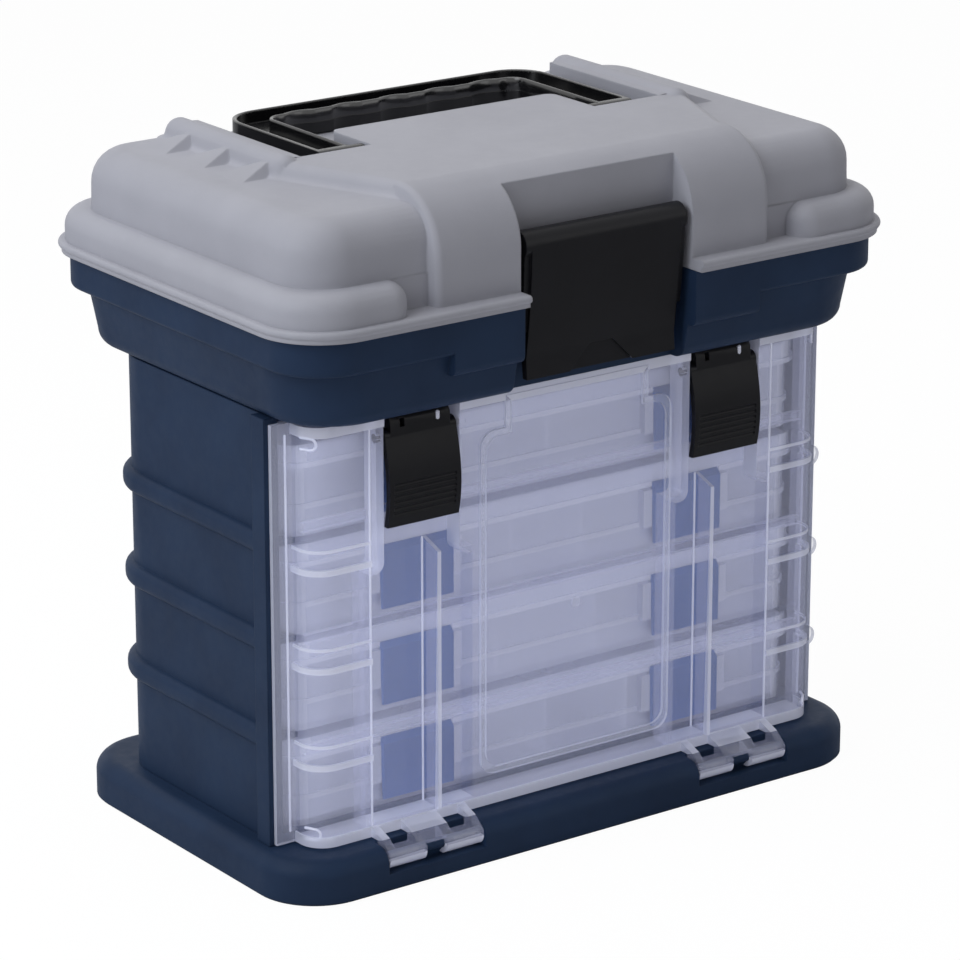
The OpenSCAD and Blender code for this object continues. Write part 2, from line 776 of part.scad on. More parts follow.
// The whole cross-section, filled inwards
function belt_section() =
    let (side = belt_side(), n = len(side) - 1, low = belt_edge - belt_fall - 4, edge = belt_hw + belt_slope)
    concat([for (i = [n:-1:0]) [side[i][0], -side[i][1]]], side, [[low, edge], [low, -edge]]);

// Belt carried up the front, over a large radius and back along the top
module belt() {
    front = -rim_hd + belt_front;
    section = belt_section();
    turn_y = front + belt_edge;
    turn_z = z_belt - belt_edge;
    translate([0, 0, z_rim]) linear_extrude(turn_z - z_rim)
        polygon([for (p = section) [p[1], turn_y - p[0]]]);
    translate([0, turn_y, turn_z]) rotate([0, 90, 0]) rotate([0, 0, 180])
        rotate_extrude(angle = 90) polygon(section);
    translate([0, island_back, turn_z]) rotate([90, 0, 0]) linear_extrude(island_back - turn_y)
        polygon([for (p = section) [p[1], p[0]]]);
}

// Outer slope of a rail from near its crest down to the dome, as [distance from the crest, height]
function rail_slope(rise, from) =
    let (bends = rail_r + rail_foot,
         drop = z_belt + rise - z_dome - bends * (1 - cos(rail_pitch)),
         reach = bends * sin(rail_pitch) + drop / tan(rail_pitch))
    concat(arc(0, z_belt + rise - rail_r, rail_r, from, 90 - rail_pitch, 5),
           arc(reach, z_dome + rail_foot, rail_foot, 270 - rail_pitch, 270, 5));

// The same slope, filled down into the dome
function rail_fill(rise, from) =
    let (slope = rail_slope(rise, from), end = slope[len(slope) - 1][0])
    concat(slope, [[end, z_dome - rail_sunk], [0, z_dome - rail_sunk]]);

// Right rail with rounded ends, its run-out towards the belt, and its fins
module rail() {
    full = rail_fill(rail_rise, 90);
    // The run-out has no crest of its own: it starts on the belt's flat with a slight crease
    low = rail_fill(rail_r * (1 - sin(crease)), crease);
    inner = rail_r + rail_rise;
    crest = [for (p = rail_slope(rail_rise, 90)) if (p[1] > z_belt) p];
    neck = [belt_hw, -rail_front - belt_neck] - [rail_x, -rail_front];
    // Straight run, with the flat between it and the belt
    translate([rail_x, rail_back, 0]) rotate([90, 0, 0]) linear_extrude(rail_back + rail_front)
        polygon(concat([[-inner, z_dome - rail_sunk], [-inner, z_belt]],
                       [for (i = [len(crest) - 1:-1:1]) [-crest[i][0], crest[i][1]]], full));
    for (y = [-rail_front, rail_back]) translate([rail_x, y, 0]) rotate_extrude() polygon(full);
    block([belt_hw - 1, -rail_front, z_dome - rail_sunk], [rail_x, island_back, z_belt]);
    // Run-out that narrows to the belt's width
    translate([rail_x, -rail_front, 0]) rotate([0, 0, atan2(neck[1], neck[0]) + 90])
        rotate([90, 0, 0]) linear_extrude(norm(neck) + belt_lap)
            polygon(concat([[-inner, z_dome - rail_sunk], [-inner, z_belt]], low));
    translate([0, 0, z_dome - rail_sunk]) linear_extrude(z_belt - z_dome + rail_sunk)
        polygon([[0, -rail_front], [rail_x, -rail_front], [belt_hw, -rail_front - belt_neck],
                 [0, -rail_front - belt_neck]]);
    for (k = [0:2]) fin(-fin_front + k * fin_pitch);
}

// A fin that falls away from its rail, steep at the front and sloping off to the rear
module fin(y) intersection() {
    z0 = z_dome - rail_sunk / 2;
    end = rail_r + fin_reach;
    translate([rail_x, y + fin_len, 0]) rotate([90, 0, 0]) linear_extrude(fin_len)
        polygon([[0, z0], [end, z0], [end, z_dome - 0.4], [rail_r, z_dome + fin_h], [0, z_dome + fin_h]]);
    along_x(rail_x - 1, rail_x + end + 1)
        polygon([[y, z_dome - rail_sunk], [y, z_dome], [y + fin_lean, z_dome + fin_h],
                 [y + fin_lean + fin_t, z_dome + fin_h], [y + fin_len, z_dome - 0.4],
                 [y + fin_len, z_dome - rail_sunk]]);
}

// Inside of the lid
module lid_hollow() {
    z_ceiling = min(z_pocket, z_dome) - lid_wall;
    skirt = step_inset + lid_wall;
    difference() {
        union() {
            dome(lid_wall, z_rim - 1, z_ceiling);
            difference() {
                rprism(rim_w - 2 * skirt, rim_d - 2 * skirt, rim_r - skirt, z_rim - 1, z_step - lid_wall - 2);
                block([-step_break - lid_wall, -rim_d, z_rim - 2],
                      [step_break + lid_wall, -y_dome + lid_wall, z_belt]);
            }
            // Under the belt, ahead of the handle's pocket
            block([-belt_hw + lid_wall, -rim_hd + belt_front + belt_edge, z_rim],
                  [belt_hw - lid_wall, handle_axis - handle_t, z_belt - lid_wall]);
        }
        block([-bay_hw - lid_wall, -rim_d, 0], [bay_hw + lid_wall, -bay_y + lid_wall, z_rail]);
    }
}

module lid() color(grey) {
    pocket_front = handle_axis - handle_t / 2 - handle_gap;
    difference() {
        union() {
            lid_skirt();
            dome(0, z_rim, z_dome);
            belt();
            both() rail();
        }
        lid_hollow();
        // Pocket for the folded handle, open to the rear, round the island
        difference() {
            block([-pocket_hw, pocket_front, z_pocket], [pocket_hw, rim_d, z_rail + 1]);
            translate([0, 0, z_pocket - 1]) linear_extrude(belt_h) {
                translate([-island_hw, pocket_front - 1])
                    square([2 * island_hw, island_back - island_r - pocket_front + 1]);
                translate([0, island_back - island_r - eps])
                    rrect(2 * island_hw, 2 * island_r, island_r - eps);
            }
        }
        // Bay for the main latch, right through the rim
        block([-bay_hw, -rim_d, z_rim - 1], [bay_hw, -bay_y, z_rail]);
        both() {
            rod(bay_hw - 1, bay_hw + latch_seat + 0.4, y_latch, z_latch, latch_pin / 2 + pin_gap);
            rod(island_hw - handle_seat - 0.4, island_hw + 1,
                handle_axis, z_handle, handle_pin / 2 + pin_gap);
        }
    }
    // Hinge lugs and the pin they carry
    both() {
        for (x = lug_places()) along_x(x - lug_w / 2, x + lug_w / 2) {
            translate([y_hinge, z_hinge]) circle(hinge_r);
            polygon([[rim_hd - 2, z_rim], [rim_hd - 2, z_rim + rim_h - 1.4], [rim_hd - 0.6, z_rim + rim_h - 1.4],
                     [y_hinge + hinge_r, z_hinge], [y_hinge - hinge_r + 0.6, z_hinge]]);
        }
        rod(hinge_x - lug_pitch, hinge_x + lug_pitch, y_hinge, z_hinge, hinge_pin / 2);
    }
}

// The handle's plan between two insets from its outer edge, from the axis backwards
module handle_plan(out, rim) {
    w = 2 * handle_hw - 2 * out;
    depth = handle_back - handle_axis;
    difference() {
        translate([0, handle_back - depth - out]) rrect(w, 2 * depth, handle_r - out);
        translate([-handle_hw - 1, -rim_d]) square([2 * handle_hw + 2, rim_d + handle_axis]);
        translate([0, handle_back - depth - grip_w + rim])
            rrect(2 * (handle_hw - arm_w + rim), 2 * depth, handle_r - arm_w + rim + 4);
    }
}

module handle() color(black) {
    z0 = z_handle - handle_t / 2;
    difference() {
        translate([0, 0, z0]) linear_extrude(handle_t) handle_plan(0, 0);
        // Groove along the top
        translate([0, 0, z0 + handle_t - handle_groove]) linear_extrude(handle_t) intersection() {
            handle_plan(handle_rim, -handle_rim);
            translate([-handle_hw, handle_axis + handle_rim]) square([2 * handle_hw, rim_d]);
        }
        // Finger waves on the inner edge of the grip
        for (k = [-2:2])
            translate([k * wave_pitch, handle_back - grip_w + wave_depth - wave_r, z0 - 1])
                cylinder(h = handle_t + 2, r = wave_r);
    }
    both() {
        rod(island_hw + handle_gap, handle_hw, handle_axis, z_handle, handle_t / 2);
        rod(island_hw - handle_seat, island_hw + handle_gap + 1, handle_axis, z_handle, handle_pin / 2);
    }
}

// Front face of the main latch at a share of its length below the axis
function latch_face(t) = [y_latch - latch_barrel + latch_lean * pow(t, 1.6) - 1.6 * max(0, t - 0.86) / 0.14,
                          z_latch - latch_len * t];

module main_latch() color(black) {
    hw = bay_hw - bay_gap;
    steps = 14;
    face = [for (i = [0:steps]) latch_face(i / steps)];
    hook_y = -bay_y - catch_reach - catch_gap;
    z_hook = z_rim - catch_drop - catch_gap;
    difference() {
        union() {
            along_x(-hw + latch_return, hw - latch_return)
                polygon(concat(face, [for (i = [steps:-1:0]) face[i] + [latch_t, 0]]));
            rod(-hw, hw, y_latch, z_latch, latch_barrel);
            // Side returns, set back from the face
            both() along_x(hw - latch_return - eps, hw)
                polygon(concat([for (i = [0:9]) face[i] + [1.2, 0]], [face[9] + [latch_t + 1, 0]],
                               [[y_latch + 2, z_latch - 20], [y_latch + latch_barrel - 1, z_latch]]));
            // Hook that stops just short of the catch ridge
            along_x(-bay_hw / 2, bay_hw / 2)
                polygon([[latch_face(0.85)[0] + 1, z_hook - 2], [hook_y, z_hook - 1],
                         [hook_y, z_hook], [latch_face(0.8)[0] + 1, z_hook + 1.4]]);
        }
        // Finger scoop at the lower edge
        translate([0, latch_face(1)[0] + scoop_d, z_latch - latch_len]) rotate([90, 0, 0])
            linear_extrude(2 * latch_barrel)
                polygon([[-scoop_w / 2, -1], [scoop_w / 2, -1],
                         [scoop_w / 6, scoop_h], [-scoop_w / 6, scoop_h]]);
    }
    both() rod(hw - 1, bay_hw + latch_seat, y_latch, z_latch, latch_pin / 2);
}

// Plan of the door's raised field, as a solid, cut off square at its back
module field_plan(grow, back) {
    hw = field_w / 2 + grow;
    r = field_r + grow;
    front = y_field - grow;
    intersection() {
        union() {
            translate([r - hw, front]) square([2 * (hw - r), field_w]);
            translate([-hw, front + r]) square([2 * hw, field_w]);
            for (s = [-1, 1]) translate([s * (hw - r), front + r]) circle(r);
        }
        translate([-hw, front]) square([2 * hw, back - front]);
    }
}

// Outline of a channel in [x from its middle, z]: narrow between the cheeks and wider below them
module channel_outline(grow) {
    low = z_door + door_band - grow;
    split = z_cheek + grow;
    narrow = channel_w / 2 + grow;
    wide = channel_low_w / 2 + grow;
    r = cheek_r - grow;
    translate([-narrow, low]) square([2 * narrow, z_tub - low]);
    translate([-wide, low]) square([2 * wide, split - low]);
    // Rounded lower ends of the cheeks
    for (m = [0, 1]) mirror([m, 0]) difference() {
        translate([narrow - eps, split - eps]) square(r + eps);
        translate([narrow + r, split + r]) circle(r);
    }
}

// Both channels, grown all round and backwards
module channels(grow) {
    both() translate([channel_x, y_channel + grow, 0]) rotate([90, 0, 0])
        linear_extrude(channel_d + grow + field_rise) channel_outline(grow);
}

// Solid plan of the door, before it is hollowed
module door_solid_plan() {
    translate([-door_w / 2, y_flange]) square([door_w, door_t]);
    field_plan(0, y_flange + door_t);
}

// Notched outline of the central bead frame, drawn in [x, z]
module frame_outline(inset) {
    low = z_door + frame_low + inset;
    shoulder = z_door_top - frame_shoulder - inset;
    hw = frame_hw - inset;
    neck = frame_neck - inset;
    r = frame_r;
    translate([-hw, low + r]) square([2 * hw, shoulder - low - 2 * r]);
    translate([r - hw, low]) square([2 * (hw - r), shoulder - low]);
    for (s = [-1, 1]) for (z = [low + r, shoulder - r]) translate([s * (hw - r), z]) circle(r);
    translate([-neck, low + r]) square([2 * neck, z_door_top - lip_h / 2 - inset - low - r]);
}

// A horizontal bead round the raised field at a height, on its outer parts only
module field_bead(z, h, proud) {
    outer = channel_x + channel_low_w / 2;
    translate([0, 0, z - h / 2]) linear_extrude(h) difference() {
        field_plan(proud, y_flange);
        field_plan(-door_t / 2, y_flange + 1);
        translate([-outer, y_field - 5]) square([2 * outer, 40]);
    }
}

module door() color(frost) {
    back = y_flange + door_t;
    height = z_door_top - z_door;
    z_fin = z_door + door_band - door_t / 2;
    difference() {
        translate([0, 0, z_door]) linear_extrude(height) door_solid_plan();
        // Hollow behind the raised field, round the channels
        difference() {
            translate([0, 0, z_door + door_t]) linear_extrude(height - 2 * door_t)
                field_plan(-door_t, back + 1);
            channels(door_t);
        }
        channels(0);
        // Notches above the latches
        both() block([channel_x - channel_w / 2, y_field - 1, z_notch],
                     [channel_x + channel_w / 2, back + 1, z_tub]);
        both() for (s = [-1, 1])
            rod(channel_x + s * (channel_w / 2 + 1) - 3, channel_x + s * (channel_w / 2 + 1) + 3,
                y_dl, z_dl, dl_pin / 2 + pin_gap);
    }
    // Bead frame and gate mark on the central field
    translate([0, y_field + door_t / 2, 0]) rotate([90, 0, 0]) linear_extrude(bead_h + door_t / 2)
        difference() {
            frame_outline(0);
            frame_outline(bead_w);
        }
    translate([0, y_field + door_t / 2, z_door + gate_z]) rotate([90, 0, 0])
        cylinder(h = gate_h + door_t / 2, d = gate_d);
    // Lips along the lower and upper edges
    difference() {
        for (z = [z_door, z_door_top - lip_h]) translate([0, 0, z]) linear_extrude(lip_h) difference() {
            field_plan(lip_proud, y_flange);
            field_plan(-door_t / 2, y_flange + 1);
        }
        channels(0);
    }
    // Stiffening bars behind the channels
    for (k = [0:bar_n - 1]) let (z = z_door + bar_low + k * bar_pitch)
        block([door_t / 2 - field_w / 2, y_channel + door_t / 2, z - bar_h / 2],
              [field_w / 2 - door_t / 2, y_channel + door_t + bar_t, z + bar_h / 2]);
    // Ledges that follow the tray lids behind
    for (i = [1:rib_n]) {
        field_bead(z_floor + i * box_pitch - box_skirt - 0.8, 2.2, bead_h);
        field_bead(z_floor + i * box_pitch - 1.6, 1.1, bead_h / 2);
    }
    // Fins in the channels
    both() along_x(channel_fin_x - channel_fin_t / 2, channel_fin_x + channel_fin_t / 2)
        polygon([[y_channel + door_t / 2, z_fin], [y_channel - channel_fin_reach, z_fin],
                 [y_channel - channel_fin_reach, z_door + channel_fin_h - channel_fin_slope],
                 [y_channel, z_door + channel_fin_h], [y_channel + door_t / 2, z_door + channel_fin_h]]);
    // Half-round tabs on the right flange
    for (i = [1:rib_n]) translate([door_w / 2 - tab_r * 0.4, back, z_floor + i * box_pitch - 13])
        rotate([90, 0, 0]) cylinder(h = door_t, r = tab_r);
    // Hinge brackets: two barrels, each hung on two side bars, with a web between them
    both() {
        loops = loop_places();
        for (x = loops) hinge_loop(x);
        along_x(loops[0] + loop_w / 2 - eps, loops[1] - loop_w / 2 + eps)
            polygon([[y_dh - dh_r, z_dh + dh_r - 1], [y_dh - dh_r + door_t, z_dh + dh_r - 1],
                     [y_dh + 2, z_door], [y_field + 4, z_door],
                     [y_field + 4, z_door + door_t], [y_field, z_door + door_t + 2],
                     [y_dh + 1, z_door + 1]]);
    }
}

// One barrel of a hinge bracket, snapped over the pin, with its two side bars
module hinge_loop(x) {
    hw = loop_w / 2;
    along_x(x - hw, x + hw) difference() {
        translate([y_dh, z_dh]) circle(dh_r);
        translate([y_dh, z_dh]) {
            circle(dh_pin / 2 + pin_gap);
            rotate(-50) translate([0, -dh_pin * 0.4]) square([2 * dh_r, dh_pin * 0.8]);
        }
    }
    for (s = [-1, 1]) {
        a = s < 0 ? x - hw : x + hw - loop_bar;
        along_x(a, a + loop_bar) difference() {
            polygon([[y_dh - dh_r, z_dh], [y_dh + dh_r, z_dh], [y_dh + dh_r, z_door], [y_field + 4, z_door],
                     [y_field + 4, z_door + door_t], [y_field, z_door + door_t + 2], [y_dh + 1, z_door + 1],
                     [y_dh - dh_r, z_dh + 2]]);
            translate([y_dh, z_dh]) circle(dh_pin / 2 + pin_gap);
        }
    }
}

// A door latch about its own axis; the lower end is the finger grip
module door_latch() {
    steps = 10;
    hw = dl_w / 2;
    face = [for (i = [0:steps]) let (t = i / steps)
            [-dl_barrel - dl_bulge * sin(150 * t), -dl_len * t]];
    difference() {
        union() {
            along_x(-hw, hw) polygon(concat(face, [for (i = [steps:-1:0]) face[i] + [dl_t, 0]]));
            rod(-hw, hw, 0, 0, dl_barrel);
            // Hook above the axis
            along_x(-hw + 2.5, hw - 2.5)
                polygon([[-dl_barrel, 0], [-dl_barrel + 0.4, dl_hook - 2], [-dl_barrel + 1.6, dl_hook],
                         [0.6, dl_hook], [0.6, 0]]);
        }
        // Grip grooves
        for (k = [0:dl_grooves - 1]) let (t = 0.52 + 0.4 * k / dl_grooves)
            rod(-hw + 2, hw - 2, -dl_barrel - dl_bulge * sin(150 * t) - 0.25, -dl_len * t, 0.8);
        // Two short slots
        for (x = [-hw * 0.5, hw * 0.5]) block([x - 1, -dl_barrel - 1, 3.2], [x + 1, 2, 6.2]);
    }
    rod(-channel_w / 2 - dl_seat, channel_w / 2 + dl_seat, 0, 0, dl_pin / 2);
}

module door_latch_left() color(black) translate([-channel_x, y_dl, z_dl]) door_latch();
module door_latch_right() color(black) translate([channel_x, y_dl, z_dl]) door_latch();

// Plan of a utility box, shrunk inwards
module box_plan(shrink) {
    hw = box_w / 2 - shrink;
    y0 = -box_front + shrink;
    y1 = -box_front + box_d - shrink;
    front_r = box_r - shrink;
    rear_r = box_rear_r - shrink;
    translate([-hw, y0 + front_r]) square([2 * hw, y1 - rear_r - y0 - front_r]);
    translate([front_r - hw, y0]) square([2 * (hw - front_r), 2 * front_r]);
    translate([rear_r - hw, y1 - 2 * rear_r]) square([2 * (hw - rear_r), 2 * rear_r]);
    for (s = [-1, 1]) {
        translate([s * (hw - front_r), y0 + front_r]) circle(front_r);
        translate([s * (hw - rear_r), y1 - rear_r]) circle(rear_r);
    }
}

// Height of the floor under a box
function box_z(i) = z_floor + (i - 1) * box_pitch;

module tray(i) color(frost) {
    skin = box_wall + box_gap;
    z = box_z(i);
    difference() {
        union() {
            translate([0, 0, z]) linear_extrude(box_h - box_wall) box_plan(skin);
            translate([0, 0, z + tray_rib]) linear_extrude(box_rim_h) box_plan(skin - box_rim);
            // Posts beside the latches
            both() for (s = [-1, 1]) let (x = box_latch_x + s * (box_latch_w / 2 + box_gap + post_w / 2))
                block([x - post_w / 2, -box_front - box_latch_t / 2, z + tray_rib],
                      [x + post_w / 2, -box_front + skin + box_wall / 2, z + tray_rib + post_h]);
        }
        translate([0, 0, z + box_wall]) linear_extrude(box_h) box_plan(skin + box_wall);
    }
}

module tray_lid(i) color(frost) {
    z = box_z(i) + box_h - box_skirt;
    difference() {
        union() {
            translate([0, 0, z]) linear_extrude(box_skirt) box_plan(0);
            // Lower rim, left out at the latches
            difference() {
                translate([0, 0, z]) linear_extrude(box_rim_h) box_plan(-box_rim);
                both() block([box_latch_x - box_latch_w / 2 - box_gap, -box_front - box_rim - 1, z - 1],
                             [box_latch_x + box_latch_w / 2 + box_gap, -box_front + box_wall / 2,
                              z + box_skirt]);
            }
        }
        translate([0, 0, z - 1]) linear_extrude(box_skirt - box_wall + 1) box_plan(box_wall);
    }
}

module tray_latches(i) color(blue) {
    z = box_z(i) + box_h - box_latch_top;
    y = -box_front - box_latch_t;
    both() along_x(box_latch_x - box_latch_w / 2, box_latch_x + box_latch_w / 2)
        polygon([[-box_front, z], [y, z - box_latch_t], [y, z - box_latch_h],
                 [y + box_latch_t / 2, z - box_latch_h], [-box_front, z - box_skirt + box_latch_top]]);
}

module dividers(i) color(frost) {
    inset = 2 * box_wall + box_gap + divider_gap;
    hw = box_w / 2 - inset;
    y0 = -box_front + inset;
    y1 = -box_front + box_d - inset;
    ym = (y0 + y1) / 2;
    z0 = box_z(i) + box_wall;
    z1 = box_z(i) + box_h - box_wall - 1;
    n = divider_rows[i - 1];
    block([-hw, ym - divider_t / 2, z0], [hw, ym + divider_t / 2, z1]);
    for (k = [1:n]) {
        x = -hw + 2 * hw * k / (n + 1);
        block([x - divider_t / 2, y0, z0], [x + divider_t / 2, ym - divider_t / 2 - divider_gap, z1]);
    }
    for (k = [1:n - 1]) {
        x = -hw + 2 * hw * k / n;
        block([x - divider_t / 2, ym + divider_t / 2 + divider_gap, z0], [x + divider_t / 2, y1, z1]);
    }
}

placed() base();
placed() cabinet();
placed() tub();
placed() lid();
placed() handle();
placed() main_latch();
placed() door();
placed() door_latch_left();
placed() door_latch_right();
placed() tray(1);  // tray_1
placed() tray(2);  // tray_2
placed() tray(3);  // tray_3
placed() tray(4);  // tray_4
placed() tray_lid(1);  // tray_lid_1
placed() tray_lid(2);  // tray_lid_2
placed() tray_lid(3);  // tray_lid_3
placed() tray_lid(4);  // tray_lid_4
placed() tray_latches(1);  // tray_latches_1
placed() tray_latches(2);  // tray_latches_2
placed() tray_latches(3);  // tray_latches_3
placed() tray_latches(4);  // tray_latches_4
placed() dividers(1);  // dividers_1
placed() dividers(2);  // dividers_2
placed() dividers(3);  // dividers_3
placed() dividers(4);  // dividers_4
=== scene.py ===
"""Looks of the tackle box: moulded plastics on the fixed frame, studio floor, light and camera.

The frame is in metres with +Z up, the door facing -Y and X along the long side.
Lengths in this file are millimetres until a mesh is written, where MM turns them into metres.
"""
import json
import logging
import math
from dataclasses import dataclass
from enum import Enum
from typing import Any

import bmesh
import bpy
import numpy as np
from mathutils import Matrix, Vector


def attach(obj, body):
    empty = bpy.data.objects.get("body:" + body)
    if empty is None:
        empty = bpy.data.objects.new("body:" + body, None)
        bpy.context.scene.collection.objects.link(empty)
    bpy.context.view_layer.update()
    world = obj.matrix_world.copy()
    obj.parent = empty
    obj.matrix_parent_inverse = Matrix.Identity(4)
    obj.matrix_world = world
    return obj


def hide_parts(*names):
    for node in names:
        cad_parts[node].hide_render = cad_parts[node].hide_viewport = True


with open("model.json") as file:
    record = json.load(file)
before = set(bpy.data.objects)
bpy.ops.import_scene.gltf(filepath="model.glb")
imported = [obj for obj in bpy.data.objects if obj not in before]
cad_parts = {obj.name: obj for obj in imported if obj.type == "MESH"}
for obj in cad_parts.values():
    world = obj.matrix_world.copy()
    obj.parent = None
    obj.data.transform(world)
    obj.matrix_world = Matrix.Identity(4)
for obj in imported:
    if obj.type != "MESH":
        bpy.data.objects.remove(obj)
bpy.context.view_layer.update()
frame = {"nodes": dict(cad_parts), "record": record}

MM = 0.001
LOG = logging.getLogger("tackle_box")
# The rear hinge stands behind the rim, so the frame's origin lies this far from the rim's middle
Y_SHIFT = -2.375


def linear(code: str) -> tuple[float, float, float, float]:
    """Turns an sRGB hex code into linear light.

    Args:
        code: Six hex digits, with or without a leading hash.

    Returns:
        Red, green, blue and an alpha of one.
    """
    digits = code.lstrip("#")
    srgb = np.array([int(digits[i:i + 2], 16) for i in (0, 2, 4)]) / 255.0
    low = srgb / 12.92
    high = ((srgb + 0.055) / 1.055) ** 2.4
    red, green, blue = np.where(srgb <= 0.04045, low, high)
    return float(red), float(green), float(blue), 1.0


def add(tree: bpy.types.NodeTree, kind: str, links: dict[Any, Any] | None = None,
        **settings: Any) -> bpy.types.Node:
    """Adds a node with its settings and links.

    Args:
        tree: Node tree that takes the node.
        kind: Blender's type name of the node.
        links: Input name or number, with the output socket or the value that it takes.
        **settings: Attributes of the node.

    Returns:
        The new node.
    """
    node = tree.nodes.new(kind)
    for name, value in settings.items():
        setattr(node, name, value)
    for name, source in (links or {}).items():
        socket = node.inputs[name]
        if isinstance(source, bpy.types.NodeSocket):
            tree.links.new(source, socket)
        else:
            socket.default_value = source
    return node


class Clarity(Enum):
    """How a moulded plastic passes light."""

    OPAQUE = "opaque"
    MILKY = "milky"


@dataclass(frozen=True)
class MouldedPlastic:
    """Injection-moulded polypropylene, told apart by colour, grain and gloss.

    The grain is the spark-eroded texture of the mould: it scatters highlights into a soft sheen.
    The rounding stands for the small radius that every moulded edge has. Clouds are the wide tints that
    flow and handling leave, and scuffs the fine changes of gloss.
    """

    name: str
    colour: str
    worn: str
    roughness: float
    spread: float
    grain_mm: float
    grain_depth_mm: float
    rounding_mm: float
    specular: float = 0.5
    clarity: Clarity = Clarity.OPAQUE
    ior: float = 1.49
    alpha: float = 1.0
    cloud_mm: float = 30.0
    scuff_mm: float = 4.0
    rounding_samples: int = 4

    def material(self) -> bpy.types.Material:
        """Builds the node material.

        Returns:
            A material that reads Object coordinates only.
        """
        made = bpy.data.materials.new(self.name)
        made.use_nodes = True
        tree = made.node_tree
        tree.nodes.clear()
        place = add(tree, "ShaderNodeTexCoord").outputs["Object"]
        cloud = add(tree, "ShaderNodeTexNoise",
                    {"Vector": place, "Scale": 1.0 / (self.cloud_mm * MM), "Detail": 3.0})
        scuff = add(tree, "ShaderNodeTexNoise",
                    {"Vector": place, "Scale": 1.0 / (self.scuff_mm * MM), "Detail": 4.0})
        # Drawn a little coarser than the real grain, so that it shows
        grain = add(tree, "ShaderNodeTexNoise",
                    {"Vector": place, "Scale": 1.0 / (self.grain_mm * MM), "Detail": 2.0, "Roughness": 0.6})
        tint = add(tree, "ShaderNodeMapRange",
                   {"Value": cloud.outputs["Fac"], "From Min": 0.3, "From Max": 0.7})
        colour = add(tree, "ShaderNodeMix", {"Factor": tint.outputs["Result"], 6: linear(self.colour),
                                             7: linear(self.worn)}, data_type="RGBA")
        gloss = add(tree, "ShaderNodeMapRange",
                    {"Value": scuff.outputs["Fac"], "From Min": 0.25, "From Max": 0.75,
                     "To Min": self.roughness - self.spread, "To Max": self.roughness + self.spread})
        bump = add(tree, "ShaderNodeBump",
                   {"Height": grain.outputs["Fac"], "Distance": self.grain_depth_mm * MM, "Strength": 1.0})
        if self.clarity is Clarity.OPAQUE:
            edge = add(tree, "ShaderNodeBevel", {"Radius": self.rounding_mm * MM},
                       samples=self.rounding_samples)
            tree.links.new(edge.outputs["Normal"], bump.inputs["Normal"])
        skin = add(tree, "ShaderNodeBsdfPrincipled",
                   {"Base Color": colour.outputs[2], "Roughness": gloss.outputs["Result"],
                    "Normal": bump.outputs["Normal"], "IOR": self.ior, "Specular IOR Level": self.specular,
                    "Alpha": self.alpha})
        add(tree, "ShaderNodeOutputMaterial", {"Surface": skin.outputs["BSDF"]})
        return made


# Grained lid: the spark-eroded mould leaves a dull grey with a soft, wide sheen
LID_GREY = MouldedPlastic(
    "polypropylene_grained_grey", "#b4b4bc", "#aeaeb6", roughness=0.55, spread=0.05,
    grain_mm=0.9, grain_depth_mm=0.05, rounding_mm=1.2, specular=0.35)
# Case: a duller mould, so the navy stays deep and only its edges catch light
NAVY = MouldedPlastic(
    "polypropylene_moulded_navy", "#283a55", "#23334c", roughness=0.5, spread=0.06,
    grain_mm=0.7, grain_depth_mm=0.03, rounding_mm=0.8, specular=0.12)
# Latches: a satin mould without much glint
BLACK = MouldedPlastic(
    "polypropylene_satin_black", "#1b1b1f", "#17171a", roughness=0.36, spread=0.05,
    grain_mm=0.6, grain_depth_mm=0.015, rounding_mm=0.5, specular=0.16)
# Handle: a polished mould
GLOSS_BLACK = MouldedPlastic(
    "polypropylene_polished_black", "#141416", "#111113", roughness=0.2, spread=0.04,
    grain_mm=0.8, grain_depth_mm=0.006, rounding_mm=0.6, specular=0.45)
# Handle's rims: the best polished edge of that mould, with a hard glint
RIM_BLACK = MouldedPlastic(
    "polypropylene_mirror_black", "#141416", "#111113", roughness=0.16, spread=0.03,
    grain_mm=0.8, grain_depth_mm=0.004, rounding_mm=0.6, specular=0.9)
# Door: unfilled polypropylene is milky, so what lies close behind it shows through a lavender haze.
# Its gloss is set high, because the see-through share thins the gloss too
FROST = MouldedPlastic(
    "polypropylene_frosted_clear", "#d3d7f6", "#cdd1f2", roughness=0.22, spread=0.05,
    grain_mm=0.8, grain_depth_mm=0.003, rounding_mm=0.4, specular=1.0,
    clarity=Clarity.MILKY, ior=1.9, alpha=0.19)
# Its walls and rims are looked at along their depth, where the haze adds up to a pale line. On the hinge
# brackets' feet this pale finish is a painted highlight.
FROST_EDGE_AND_HIGHLIGHT = MouldedPlastic(
    "polypropylene_frosted_edge_and_highlight", "#eef0ff", "#e8ebff", roughness=0.18, spread=0.04,
    grain_mm=0.8, grain_depth_mm=0.006, rounding_mm=0.4, specular=0.8,
    clarity=Clarity.MILKY, ior=1.7, alpha=0.6)
# Flange and central frame's bead: a denser haze than the field's
FROST_BEAD = MouldedPlastic(
    "polypropylene_frosted_thick", "#e2e6fc", "#dce0f8", roughness=0.2, spread=0.04,
    grain_mm=0.8, grain_depth_mm=0.004, rounding_mm=0.4, specular=0.9,
    clarity=Clarity.MILKY, ior=1.8, alpha=0.29)
# Trays: the same plastic in a glossier mould, and their walls on edge
TRAY = MouldedPlastic(
    "polypropylene_tray_clear", "#e2e6fa", "#dce0f6", roughness=0.2, spread=0.05,
    grain_mm=0.8, grain_depth_mm=0.003, rounding_mm=0.3, specular=1.0,
    clarity=Clarity.MILKY, ior=1.9, alpha=0.4)
TRAY_EDGE = MouldedPlastic(
    "polypropylene_tray_on_edge", "#ebeefc", "#e6e9f8", roughness=0.18, spread=0.04,
    grain_mm=0.8, grain_depth_mm=0.006, rounding_mm=0.3, specular=0.8,
    clarity=Clarity.MILKY, ior=1.7, alpha=0.48)
